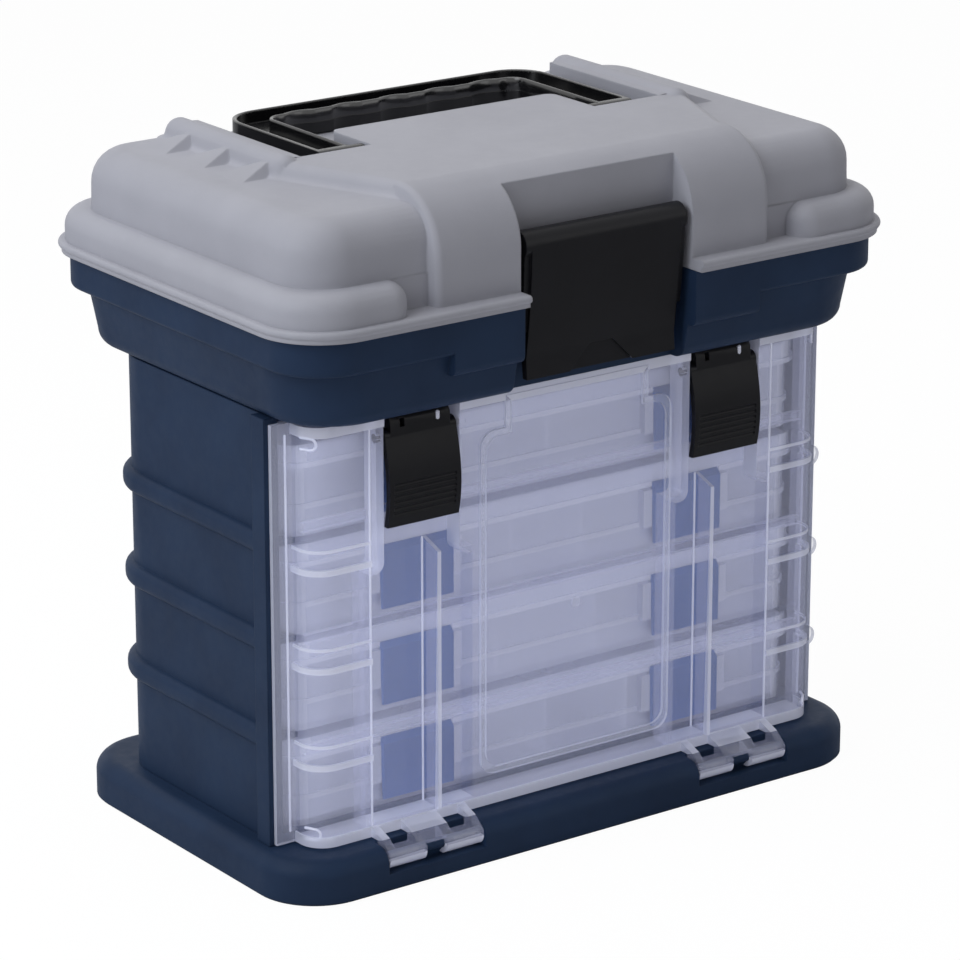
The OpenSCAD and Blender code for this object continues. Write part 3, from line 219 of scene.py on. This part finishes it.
# Latches of the trays: pigmented blue
BLUE = MouldedPlastic(
    "polypropylene_latch_blue", "#4676c0", "#3f6db4", roughness=0.4, spread=0.05,
    grain_mm=0.7, grain_depth_mm=0.02, rounding_mm=0.4, specular=0.3)

EDGE_FINISH = {"frosted_plastic": FROST_EDGE_AND_HIGHLIGHT, "tray_plastic": TRAY_EDGE}
NODE_FINISH = {"handle": GLOSS_BLACK}
SLOT_FINISH = {"navy_plastic": NAVY, "grey_plastic": LID_GREY, "black_plastic": BLACK,
               "frosted_plastic": FROST, "tray_plastic": TRAY, "blue_plastic": BLUE}
# Places of the further finishes in a milky mesh's list of materials
EDGE_PLACE = 1
THICK_PLACE = 2


@dataclass
class CarriedShell:
    """A solid of the frame shown as a welded copy with smooth shading inside its creases."""

    node: str
    body: str
    slot: str
    crease_deg: float = 28.0
    level_turn: float = 0.6
    front_turn: float = 0.9
    wide_mm2: float = 4000.0
    narrow_mm2: float = 700.0
    steps_per_turn: float = 100.0
    steps_per_mm: float = 20.0
    weld_mm: float = 0.002

    def edges(self, normal: np.ndarray, centre: np.ndarray, area: np.ndarray) -> np.ndarray:
        """Finds the faces of a milky moulding that are looked at along its walls.

        Triangles on one plane, by normal and offset in steps, are summed. Level faces count unless their
        plane is wide, and so do narrow faces towards the front.

        Args:
            normal: Face normals.
            centre: Face centres in millimetres.
            area: Face areas in square millimetres.

        Returns:
            True for each edge face.
        """
        offset = (normal * centre).sum(axis=1)
        plane = np.column_stack([np.round(normal * self.steps_per_turn),
                                 np.round(offset * self.steps_per_mm)])
        group = np.unique(plane, axis=0, return_inverse=True)[1].reshape(-1)
        total = np.bincount(group, weights=area)[group]
        level = (np.abs(normal[:, 2]) > self.level_turn) & (total < self.wide_mm2)
        return level | ((np.abs(normal[:, 1]) > self.front_turn) & (total < self.narrow_mm2))

    def thick(self, normal: np.ndarray, centre: np.ndarray) -> np.ndarray:
        """Finds the faces of a denser haze, which only the door has."""
        return np.zeros(len(normal), bool)

    def dress(self, mesh: bpy.types.Mesh, finishes: dict[str, bpy.types.Material]) -> None:
        """Gives the faces their finish, and walls and thick faces a paler one.

        Args:
            mesh: Mesh of the shell.
            finishes: Material of each finish by name.
        """
        finish = NODE_FINISH.get(self.node, SLOT_FINISH[self.slot])
        mesh.materials.clear()
        mesh.materials.append(finishes[finish.name])
        count = len(mesh.polygons)
        index = np.zeros(count, np.int32)
        if self.slot in EDGE_FINISH:
            mesh.materials.append(finishes[EDGE_FINISH[self.slot].name])
            rows = {name: np.empty(count * 3, np.float32) for name in ("normal", "center")}
            for name, row in rows.items():
                mesh.polygons.foreach_get(name, row)
            area = np.empty(count, np.float32)
            mesh.polygons.foreach_get("area", area)
            normal, centre = rows["normal"].reshape(-1, 3), rows["center"].reshape(-1, 3) / MM
            index[self.edges(normal, centre, area / (MM * MM))] = EDGE_PLACE
            thick = self.thick(normal, centre)
            if thick.any():
                mesh.materials.append(finishes[FROST_BEAD.name])
                index[thick] = THICK_PLACE
        mesh.polygons.foreach_set("material_index", index)

    def build(self, finishes: dict[str, bpy.types.Material]) -> bpy.types.Object:
        """Welds a copy of the node's mesh, marks its creases and dresses it.

        Args:
            finishes: Material of each finish by name.

        Returns:
            The new object, riding on its body and standing for the node.
        """
        source = frame["nodes"][self.node]
        shape = bmesh.new()
        shape.from_mesh(source.data)
        bmesh.ops.remove_doubles(shape, verts=shape.verts, dist=self.weld_mm * MM)
        limit = math.radians(self.crease_deg)
        for edge in shape.edges:
            edge.smooth = len(edge.link_faces) == 2 and edge.calc_face_angle(0.0) < limit
        for face in shape.faces:
            face.smooth = True
        mesh = bpy.data.meshes.new(f"{self.node}_shell")
        shape.to_mesh(mesh)
        shape.free()
        piece = bpy.data.objects.new(f"{self.node}_shell", mesh)
        bpy.context.scene.collection.objects.link(piece)
        self.dress(mesh, finishes)
        even = piece.modifiers.new("even_normals", "WEIGHTED_NORMAL")
        even.keep_sharp = True
        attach(piece, self.body)
        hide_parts(self.node)
        # Milky walls scatter light onwards, so they cast no shadow on what lies behind them
        piece.visible_shadow = SLOT_FINISH[self.slot].clarity is Clarity.OPAQUE
        return piece


@dataclass(frozen=True)
class FieldPlan:
    """Plan of the door's raised field: a straight front with rounded corners, alike on both sides."""

    half_mm: float = 114.7
    front_mm: float = -65.875
    radius_mm: float = 9.0
    flange_mm: float = -53.575
    low_mm: float = 16.8
    high_mm: float = 173.5
    lip_mm: float = 169.5

    def outside(self, centre: np.ndarray) -> np.ndarray:
        """Measures how far points lie outside the field.

        The distance is that from a rounded rectangle: the length of how far a point lies past the corner's
        centre, less the corner's radius.

        Args:
            centre: Points in millimetres.

        Returns:
            Distances, negative inside.
        """
        past = np.column_stack([np.abs(centre[:, 0]) - (self.half_mm - self.radius_mm),
                                self.front_mm + self.radius_mm - centre[:, 1]])
        return np.linalg.norm(np.maximum(past, 0.0), axis=1) - self.radius_mm

    def corner(self, run: np.ndarray, height: np.ndarray, side: int) -> np.ndarray:
        """Wraps a flat drawing round a corner of the field.

        A length along the outline, counted from where the side ends, becomes an angle about the corner's
        centre: x falls off with its cosine and y with its sine.

        Args:
            run: Lengths along the outline in millimetres.
            height: Heights in millimetres.
            side: -1 for the left corner, 1 for the right one.

        Returns:
            Points in millimetres.
        """
        turn = run / self.radius_mm
        across = self.half_mm - self.radius_mm + self.radius_mm * np.cos(turn)
        depth = self.front_mm + self.radius_mm - self.radius_mm * np.sin(turn)
        return np.column_stack([side * across, depth, height])


@dataclass
class MouldedLine:
    """A thin round ridge on a moulding, such as an edge's small fillet or a raised mark."""

    name: str
    body: str
    path_mm: np.ndarray
    radius_mm: float
    slot: str = "frosted_plastic"
    finish: MouldedPlastic = FROST_EDGE_AND_HIGHLIGHT
    depth_mm: float = 0.0
    sides: int = 16
    end_rows: int = 3
    slant: tuple[float, float, float] = (0.36, 0.8, 0.48)

    def surface(self) -> tuple[np.ndarray, list[tuple[int, ...]]]:
        """Sweeps a circle along the path and closes both ends with half spheres.

        Each row of the tube is its path's point plus the radius times the cosine of the angle along one
        normal and its sine along the other. Past an end, the radius shrinks with the cosine of a second
        angle while the row moves on by its sine. With a depth, the lower half of each circle moves down
        by it, which makes a wall.

        Returns:
            Vertices in millimetres, and faces.
        """
        along = np.gradient(self.path_mm, axis=0)
        along /= np.linalg.norm(along, axis=1, keepdims=True)
        tip = np.linspace(0.0, np.pi / 2, self.end_rows + 1)[1:]
        ends = [(self.path_mm[0], -along[0]), (self.path_mm[-1], along[-1])]
        caps = [point + self.radius_mm * np.sin(tip)[:, None] * way for point, way in ends]
        spine = np.vstack([caps[0][::-1], self.path_mm, caps[1]])
        shrink = np.concatenate([np.cos(tip)[::-1], np.ones(len(self.path_mm)), np.cos(tip)])
        ways = np.vstack([np.repeat(along[:1], len(tip), 0), along, np.repeat(along[-1:], len(tip), 0)])
        # The fixed slanted direction stays clear of every path used here, so the rows don't twist
        first = np.cross(ways, np.array(self.slant))
        first /= np.linalg.norm(first, axis=1, keepdims=True)
        second = np.cross(ways, first)
        angle = np.arange(self.sides) * 2 * np.pi / self.sides
        ring = np.cos(angle)[None, :, None] * first[:, None] + np.sin(angle)[None, :, None] * second[:, None]
        rows = spine[:, None] + self.radius_mm * shrink[:, None, None] * ring
        rows[..., 2] -= self.depth_mm * (ring[..., 2] < 0.0)
        inner = rows[1:-1]
        count = len(inner)
        grid = np.arange(count * self.sides).reshape(count, self.sides)
        turn = np.roll(grid, -1, axis=1)
        walls = np.stack([grid[:-1], turn[:-1], turn[1:], grid[1:]], axis=-1).reshape(-1, 4)
        poles = (grid.size, grid.size + 1)
        fans = np.vstack([np.column_stack([turn[0], grid[0], np.full(self.sides, poles[0])]),
                          np.column_stack([grid[-1], turn[-1], np.full(self.sides, poles[1])])])
        points = np.vstack([inner.reshape(-1, 3), spine[0], spine[-1]])
        return points, [tuple(face) for face in walls.tolist() + fans.tolist()]

    def build(self, finishes: dict[str, bpy.types.Material]) -> bpy.types.Object:
        """Makes the ridge's mesh and lets it ride on its body.

        Args:
            finishes: Material of each finish by name.

        Returns:
            The new object.
        """
        points, faces = self.surface()
        mesh = bpy.data.meshes.new(self.name)
        mesh.from_pydata((points * MM).tolist(), [], faces)
        mesh.polygons.foreach_set("use_smooth", np.ones(len(mesh.polygons), bool))
        mesh.materials.append(finishes[self.finish.name])
        piece = bpy.data.objects.new(self.name, mesh)
        bpy.context.scene.collection.objects.link(piece)
        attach(piece, self.body)
        piece.visible_shadow = self.finish.clarity is Clarity.OPAQUE
        return piece


@dataclass
class DoorMarks:
    """The door's fine lines: fillets beside the channels and on the flanges, corner marks and latch pins."""

    plan: FieldPlan = FieldPlan()
    line_radius_mm: float = 0.45
    channel_edge_mm: float = 90.4
    flange_line_mm: float = 117.4
    fin_x_mm: float = 62.0
    fin_half_mm: float = 0.8
    fin_root_mm: float = -58.375
    fin_top_mm: float = 122.4
    latch_x_mm: float = 68.2
    latch_slot_mm: float = 7.65
    pin_radius_mm: float = 0.8
    pin_front_mm: float = -64.9
    pin_heights_mm: tuple[float, float] = (168.2, 170.2)
    line_inset_mm: float = 4.5
    mark_radius_mm: float = 0.55
    mark_run_mm: tuple[float, float] = (2.2, 6.0)
    mark_half_mm: float = 2.1
    mark_points: int = 13
    mark_heights_mm: tuple[float, float] = (21.6, 167.2)

    def upright(self, name: str, x: float, y: float, top: float | None = None) -> MouldedLine:
        """Draws an upright line that starts above the lower lip.

        Args:
            name: Name of the piece.
            x: Place across in millimetres.
            y: Place in depth in millimetres.
            top: Height of its upper end in millimetres, or none to end below the upper lip.

        Returns:
            The line.
        """
        ends = [self.plan.low_mm + self.line_inset_mm, top or self.plan.high_mm - self.line_inset_mm]
        return MouldedLine(name, "door", np.column_stack([[x, x], [y, y], ends]), self.line_radius_mm)

    def mark(self, name: str, side: int, height: float) -> MouldedLine:
        """Draws a mark like a letter U on its side, wrapped round a corner.

        Its two legs start at the field's side. A half circle of the legs' distance joins them.

        Args:
            name: Name of the piece.
            side: -1 for the left corner, 1 for the right one.
            height: Height of its middle in millimetres.

        Returns:
            The line.
        """
        start, turn = self.mark_run_mm
        bend = np.linspace(np.pi / 2, -np.pi / 2, self.mark_points)
        run = np.concatenate([[start], turn + self.mark_half_mm * np.cos(bend), [start]])
        level = height + self.mark_half_mm * np.concatenate([[1.0], np.sin(bend), [-1.0]])
        return MouldedLine(name, "door", self.plan.corner(run, level, side), self.mark_radius_mm)

    def pin(self, word: str, side: int) -> MouldedLine:
        """Draws the clear pin that shows in a latch's right slot.

        Args:
            word: Side as a word.
            side: -1 for the left latch, 1 for the right one.

        Returns:
            The line.
        """
        x = side * self.latch_x_mm + self.latch_slot_mm
        path = np.column_stack([[x, x], [self.pin_front_mm] * 2, self.pin_heights_mm])
        return MouldedLine(f"latch_pin_{word}", f"door_latch_{word}", path, self.pin_radius_mm)

    def lines(self) -> list[MouldedLine]:
        """Lists all lines, alike on both sides.

        Returns:
            The lines.
        """
        made = []
        for word, side in (("left", -1), ("right", 1)):
            channel_x, flange_x = side * self.channel_edge_mm, side * self.flange_line_mm
            fin_x = side * self.fin_x_mm - self.fin_half_mm
            made.append(self.upright(f"door_channel_line_{word}", channel_x, self.plan.front_mm))
            made.append(self.upright(f"door_flange_line_{word}", flange_x, self.plan.flange_mm))
            made.append(self.upright(f"door_fin_line_{word}", fin_x, self.fin_root_mm, self.fin_top_mm))
            made.append(self.pin(word, side))
            for place, height in zip(("low", "high"), self.mark_heights_mm):
                made.append(self.mark(f"door_mark_{word}_{place}", side, height))
        return made


@dataclass
class HandleRims:
    """Polished rims along the handle's outer and inner edges, which catch the light as thin lines.

    The outer one rounds the solid's own rim. The inner one is a wall that stands on the groove's floor.
    """

    half_mm: float = 70.0
    back_mm: float = 60.625
    axis_mm: float = -4.875
    corner_mm: float = 15.0
    arm_mm: float = 14.0
    grip_mm: float = 13.0
    inner_corner_mm: float = 5.0
    end_half_mm: float = 52.0
    end_corner_mm: float = 4.0
    top_mm: float = 253.5
    radius_mm: float = 0.8
    sunk_mm: float = 0.55
    end_sunk_mm: float = 0.76
    groove_mm: float = 4.5
    wave_pitch_mm: float = 21.0
    wave_radius_mm: float = 14.0
    wave_y_mm: float = 35.225
    waves: int = 2
    outer_points: int = 13
    inner_points: int = 9
    grip_points: int = 161

    def level(self, x: np.ndarray, y: np.ndarray) -> np.ndarray:
        """Lifts a plan to the rims' height, which is less near the pivots to clear the upright stop."""
        sunk = np.where(y < self.axis_mm + self.corner_mm, self.end_sunk_mm, self.sunk_mm)
        return np.column_stack([x, y, self.top_mm - sunk])

    def outer(self) -> np.ndarray:
        """Runs along the left end, the left arm, the grip and back, a tube's radius inside the outer edge.

        Each corner is an arc: its centre plus the radius times the cosine and sine of the angle.

        Returns:
            Points in millimetres.
        """
        edge, back = self.half_mm - self.radius_mm, self.back_mm - self.radius_mm
        turn = np.linspace(0.0, np.pi / 2, self.outer_points)
        small, large = self.end_corner_mm, self.corner_mm - self.radius_mm
        left_x = np.concatenate([[-self.end_half_mm], -edge + small - small * np.sin(turn),
                                 -edge + large - large * np.cos(turn)])
        left_y = np.concatenate([[self.axis_mm], self.axis_mm + small - small * np.cos(turn),
                                 back - large + large * np.sin(turn)])
        return self.level(np.concatenate([left_x, -left_x[::-1]]), np.concatenate([left_y, left_y[::-1]]))

    def inner(self) -> np.ndarray:
        """Runs along the inner edge of the arms and the wavy edge of the grip, a tube's radius outside it.

        The grip's edge is the further back of a straight line and the finger waves' circles.

        Returns:
            Points in millimetres.
        """
        edge = self.half_mm - self.arm_mm + self.radius_mm
        back = self.back_mm - self.grip_mm + self.radius_mm
        bend = self.inner_corner_mm + self.radius_mm
        turn = np.linspace(0.0, np.pi / 2, self.inner_points)
        corner_x, corner_y = -edge + bend - bend * np.cos(turn), back - bend + bend * np.sin(turn)
        x = np.linspace(corner_x[-1], -corner_x[-1], self.grip_points)[1:-1]
        wave = x - self.wave_pitch_mm * np.clip(np.round(x / self.wave_pitch_mm), -self.waves, self.waves)
        reach = np.maximum((self.wave_radius_mm + self.radius_mm) ** 2 - wave ** 2, 0.0)
        y = np.maximum(back, self.wave_y_mm + np.sqrt(reach))
        side_x, side_y = np.concatenate([[-edge], corner_x]), np.concatenate([[self.axis_mm], corner_y])
        all_x = np.concatenate([side_x, x, -side_x[::-1]])
        return self.level(all_x, np.concatenate([side_y, y, side_y[::-1]]))

    def lines(self) -> list[MouldedLine]:
        """Lists both rims.

        Returns:
            The lines.
        """
        shared = (self.radius_mm, "black_plastic", RIM_BLACK)
        return [MouldedLine("handle_rim_outer", "handle", self.outer(), *shared),
                MouldedLine("handle_rim_inner", "handle", self.inner(), *shared, self.groove_mm)]


@dataclass
class FrostedDoor(CarriedShell):
    """The drop-down door, whose beads, lips, cheeks and fins show as pale lines."""

    node: str = "door"
    body: str = "door"
    slot: str = "frosted_plastic"
    front_turn: float = 0.998
    side_turn: float = 0.6
    plan: FieldPlan = FieldPlan()
    proud_mm: float = 0.25
    flange_edge_mm: float = 121.5
    frame_half_mm: float = 44.0
    cheek_low_mm: float = 115.5
    walls_within_mm: float = 100.0
    bracket_top_mm: float = 17.0
    bracket_proud_mm: float = 0.7
    highlight_foot_top_mm: float = 11.5

    def edges(self, normal: np.ndarray, centre: np.ndarray, area: np.ndarray) -> np.ndarray:
        """Adds to the level faces what stands proud of the field, the cheeks and the flange's ends.

        The face of the central frame's bead stays clear, so that only its flanks show. So do the hinge
        brackets, apart from their feet, which take the pale finish as a painted highlight.

        Args:
            normal: Face normals.
            centre: Face centres in millimetres.
            area: Face areas in square millimetres.

        Returns:
            True for each edge face.
        """
        side, height = np.abs(centre[:, 0]), centre[:, 2]
        outside = self.plan.outside(centre)
        front = np.abs(normal[:, 1]) > self.front_turn
        bead = front & (side < self.frame_half_mm) & (height < self.plan.lip_mm)
        proud = (outside > self.proud_mm) & (centre[:, 1] < self.plan.flange_mm - self.proud_mm)
        cheek = (side < self.walls_within_mm) & (height > self.cheek_low_mm)
        walls = (np.abs(normal[:, 0]) > self.side_turn) & (cheek | (side > self.flange_edge_mm))
        bracket_front = self.plan.front_mm - self.bracket_proud_mm
        bracket = (height < self.bracket_top_mm) & (centre[:, 1] < bracket_front)
        clear = bracket | (bead & (height > self.plan.low_mm + self.plan.high_mm - self.plan.lip_mm))
        # The brackets' feet take the pale edge finish as a painted highlight
        foot_highlight = bracket & (height < self.highlight_foot_top_mm)
        return ((super().edges(normal, centre, area) | proud | walls) & ~clear) | foot_highlight

    def thick(self, normal: np.ndarray, centre: np.ndarray) -> np.ndarray:
        """Finds the face of the central frame's bead, between the lips, and the flange's front.

        Args:
            normal: Face normals.
            centre: Face centres in millimetres.

        Returns:
            True for each such face.
        """
        lip = self.plan.high_mm - self.plan.lip_mm
        between = (centre[:, 2] > self.plan.low_mm + lip) & (centre[:, 2] < self.plan.lip_mm)
        proud = self.plan.outside(centre) > self.proud_mm
        bead = (np.abs(centre[:, 0]) < self.frame_half_mm) & proud & between
        flange = np.abs(centre[:, 1] - self.plan.flange_mm) < self.proud_mm
        return (np.abs(normal[:, 1]) > self.front_turn) & (bead | flange)


@dataclass
class Studio:
    """Pale floor, soft lamps, plain world and the photograph's camera."""

    focal_px: float = 4392.53
    image_px: float = 960.0
    azimuth_deg: float = -35.984
    elevation_deg: float = 18.234
    side_mm: float = 2.704
    height_mm: float = 116.566
    distance_mm: float = 1640.27
    sensor_mm: float = 36.0
    near_mm: float = 50.0
    far_mm: float = 20000.0
    aim_height_mm: float = 120.0
    fill_strength: float = 0.17
    floor_half_mm: float = 6000.0
    floor_fleck_mm: float = 40.0
    floor_glow: float = 1.02
    floor_glow_share: float = 0.95
    clear_walls: int = 48

    def camera(self) -> bpy.types.Object:
        """Places the camera on the fitted line of sight.

        Returns:
            The camera, set as the scene's own.
        """
        turn, tilt = math.radians(self.azimuth_deg), math.radians(self.elevation_deg)
        back = Vector((math.sin(turn) * math.cos(tilt), -math.cos(turn) * math.cos(tilt), math.sin(tilt)))
        right = Vector((math.cos(turn), math.sin(turn), 0.0))
        up = back.cross(right)
        target = right * self.side_mm + Vector((0.0, Y_SHIFT, self.height_mm))
        spot = (target + back * self.distance_mm) * MM
        lens = bpy.data.cameras.new("photo_camera")
        lens.sensor_width = self.sensor_mm
        lens.lens = self.focal_px * self.sensor_mm / self.image_px
        lens.clip_start, lens.clip_end = self.near_mm * MM, self.far_mm * MM
        eye = bpy.data.objects.new("photo_camera", lens)
        eye.matrix_world = Matrix.Translation(spot) @ Matrix((right, up, back)).transposed().to_4x4()
        bpy.context.scene.collection.objects.link(eye)
        bpy.context.scene.camera = eye
        return eye

    def lamp(self, name: str, spot_mm: tuple[float, float, float], size_mm: float, watts: float,
             tint: str = "#ffffff", only: list[bpy.types.Object] | None = None) -> bpy.types.Object:
        """Hangs a square soft lamp that looks at the box.

        Args:
            name: Name of the lamp.
            spot_mm: Where it hangs.
            size_mm: Its side length.
            watts: Its power.
            tint: Its colour.
            only: Pieces that it lights, or none for all.

        Returns:
            The lamp.
        """
        light = bpy.data.lights.new(name, "AREA")
        light.size = size_mm * MM
        light.energy = watts
        light.color = linear(tint)[:3]
        bulb = bpy.data.objects.new(name, light)
        spot = Vector(spot_mm) * MM
        aim = spot - Vector((0.0, 0.0, self.aim_height_mm * MM))
        bulb.matrix_world = Matrix.Translation(spot) @ aim.to_track_quat("Z", "Y").to_matrix().to_4x4()
        bpy.context.scene.collection.objects.link(bulb)
        if only:
            lit = bpy.data.collections.new(f"{name}_lit")
            for piece in only:
                lit.objects.link(piece)
            bulb.light_linking.receiver_collection = lit
        return bulb

    def world(self) -> bpy.types.World:
        """Fills the room with plain light and shows white behind the box.

        Returns:
            The world.
        """
        room = bpy.data.worlds.new("studio")
        room.use_nodes = True
        tree = room.node_tree
        tree.nodes.clear()
        path = add(tree, "ShaderNodeLightPath")
        glossy = add(tree, "ShaderNodeMath", operation="MAXIMUM",
                     links={0: path.outputs["Is Camera Ray"], 1: path.outputs["Is Glossy Ray"]})
        seen = add(tree, "ShaderNodeMath", operation="MAXIMUM",
                   links={0: glossy.outputs[0], 1: path.outputs["Is Transmission Ray"]})
        plain = add(tree, "ShaderNodeBackground",
                    {"Color": linear("#f4f5fa"), "Strength": self.fill_strength})
        white = add(tree, "ShaderNodeBackground", {"Color": linear("#ffffff"), "Strength": 1.0})
        both = add(tree, "ShaderNodeMixShader",
                   {0: seen.outputs[0], 1: plain.outputs["Background"], 2: white.outputs["Background"]})
        add(tree, "ShaderNodeOutputWorld", {"Surface": both.outputs["Shader"]})
        bpy.context.scene.world = room
        return room

    def floor(self) -> bpy.types.Object:
        """Lays a wide pale floor that keeps the box's shadow.

        Returns:
            The floor.
        """
        half = self.floor_half_mm * MM
        mesh = bpy.data.meshes.new("studio_floor")
        corners = [(-half, -half, 0.0), (half, -half, 0.0), (half, half, 0.0), (-half, half, 0.0)]
        mesh.from_pydata(corners, [], [(0, 1, 2, 3)])
        ground = bpy.data.objects.new("studio_floor", mesh)
        bpy.context.scene.collection.objects.link(ground)
        paint = bpy.data.materials.new("matt_white_floor")
        paint.use_nodes = True
        tree = paint.node_tree
        tree.nodes.clear()
        path = add(tree, "ShaderNodeLightPath")
        place = add(tree, "ShaderNodeTexCoord").outputs["Object"]
        fleck = add(tree, "ShaderNodeTexNoise",
                    {"Vector": place, "Scale": 1.0 / (self.floor_fleck_mm * MM), "Detail": 3.0})
        tone = add(tree, "ShaderNodeMix", {"Factor": fleck.outputs["Fac"], 6: linear("#f6f6f8"),
                                           7: linear("#fbfbfc")}, data_type="RGBA")
        matt = add(tree, "ShaderNodeBsdfPrincipled", {"Base Color": tone.outputs[2], "Roughness": 0.9,
                                                      "Specular IOR Level": 0.1})
        glow = add(tree, "ShaderNodeEmission", {"Color": linear("#ffffff"), "Strength": self.floor_glow})
        share = add(tree, "ShaderNodeMath", {0: path.outputs["Is Camera Ray"], 1: self.floor_glow_share},
                    operation="MULTIPLY")
        mixed = add(tree, "ShaderNodeMixShader",
                    {0: share.outputs[0], 1: matt.outputs["BSDF"], 2: glow.outputs["Emission"]})
        add(tree, "ShaderNodeOutputMaterial", {"Surface": mixed.outputs["Shader"]})
        mesh.materials.append(paint)
        return ground

    def build(self, milky: list[bpy.types.Object]) -> None:
        """Sets the whole stage and the plain view transform.

        Args:
            milky: Pieces that scatter light onwards and so gather more of it than their front faces catch.
        """
        self.world()
        self.floor()
        self.lamp("key_left", (-1100, -100, 900), size_mm=900, watts=8.0, tint="#f3f8ff")
        self.lamp("top_soft", (-100, 300, 1500), size_mm=1200, watts=7.4)
        self.lamp("front_fill", (900, -1500, 700), size_mm=900, watts=1.4)
        self.lamp("milky_glow", (-300, -1500, 500), size_mm=900, watts=5.6, only=milky)
        self.camera()
        bpy.context.scene.view_settings.view_transform = "Standard"
        # A look through the door and four trays passes many clear walls
        bpy.context.scene.cycles.transparent_max_bounces = self.clear_walls


def main() -> None:
    """Builds each sub-assembly in order and reports its pieces."""
    logging.basicConfig(level=logging.INFO, format="%(message)s")
    styles = [*SLOT_FINISH.values(), *EDGE_FINISH.values(), *NODE_FINISH.values(), RIM_BLACK,
              FROST_BEAD]
    finishes = {style.name: style.material() for style in styles}
    bodies = frame["record"]["behaviour"]["bodies"]
    body_of = {node: body for body, nodes in bodies.items() for node in nodes}
    milky = []
    for part in frame["record"]["subparts"]:
        node = part["node"]
        shell = FrostedDoor() if node == "door" else CarriedShell(node, body_of[node], part["material_slot"])
        piece = shell.build(finishes)
        if shell.slot in EDGE_FINISH:
            milky.append(piece)
        LOG.info("%s on %s", piece.name, shell.body)
    milky += [line.build(finishes) for line in DoorMarks().lines()]
    for line in HandleRims().lines():
        line.build(finishes)
    Studio().build(milky)


if __name__ == "__main__":
    main()
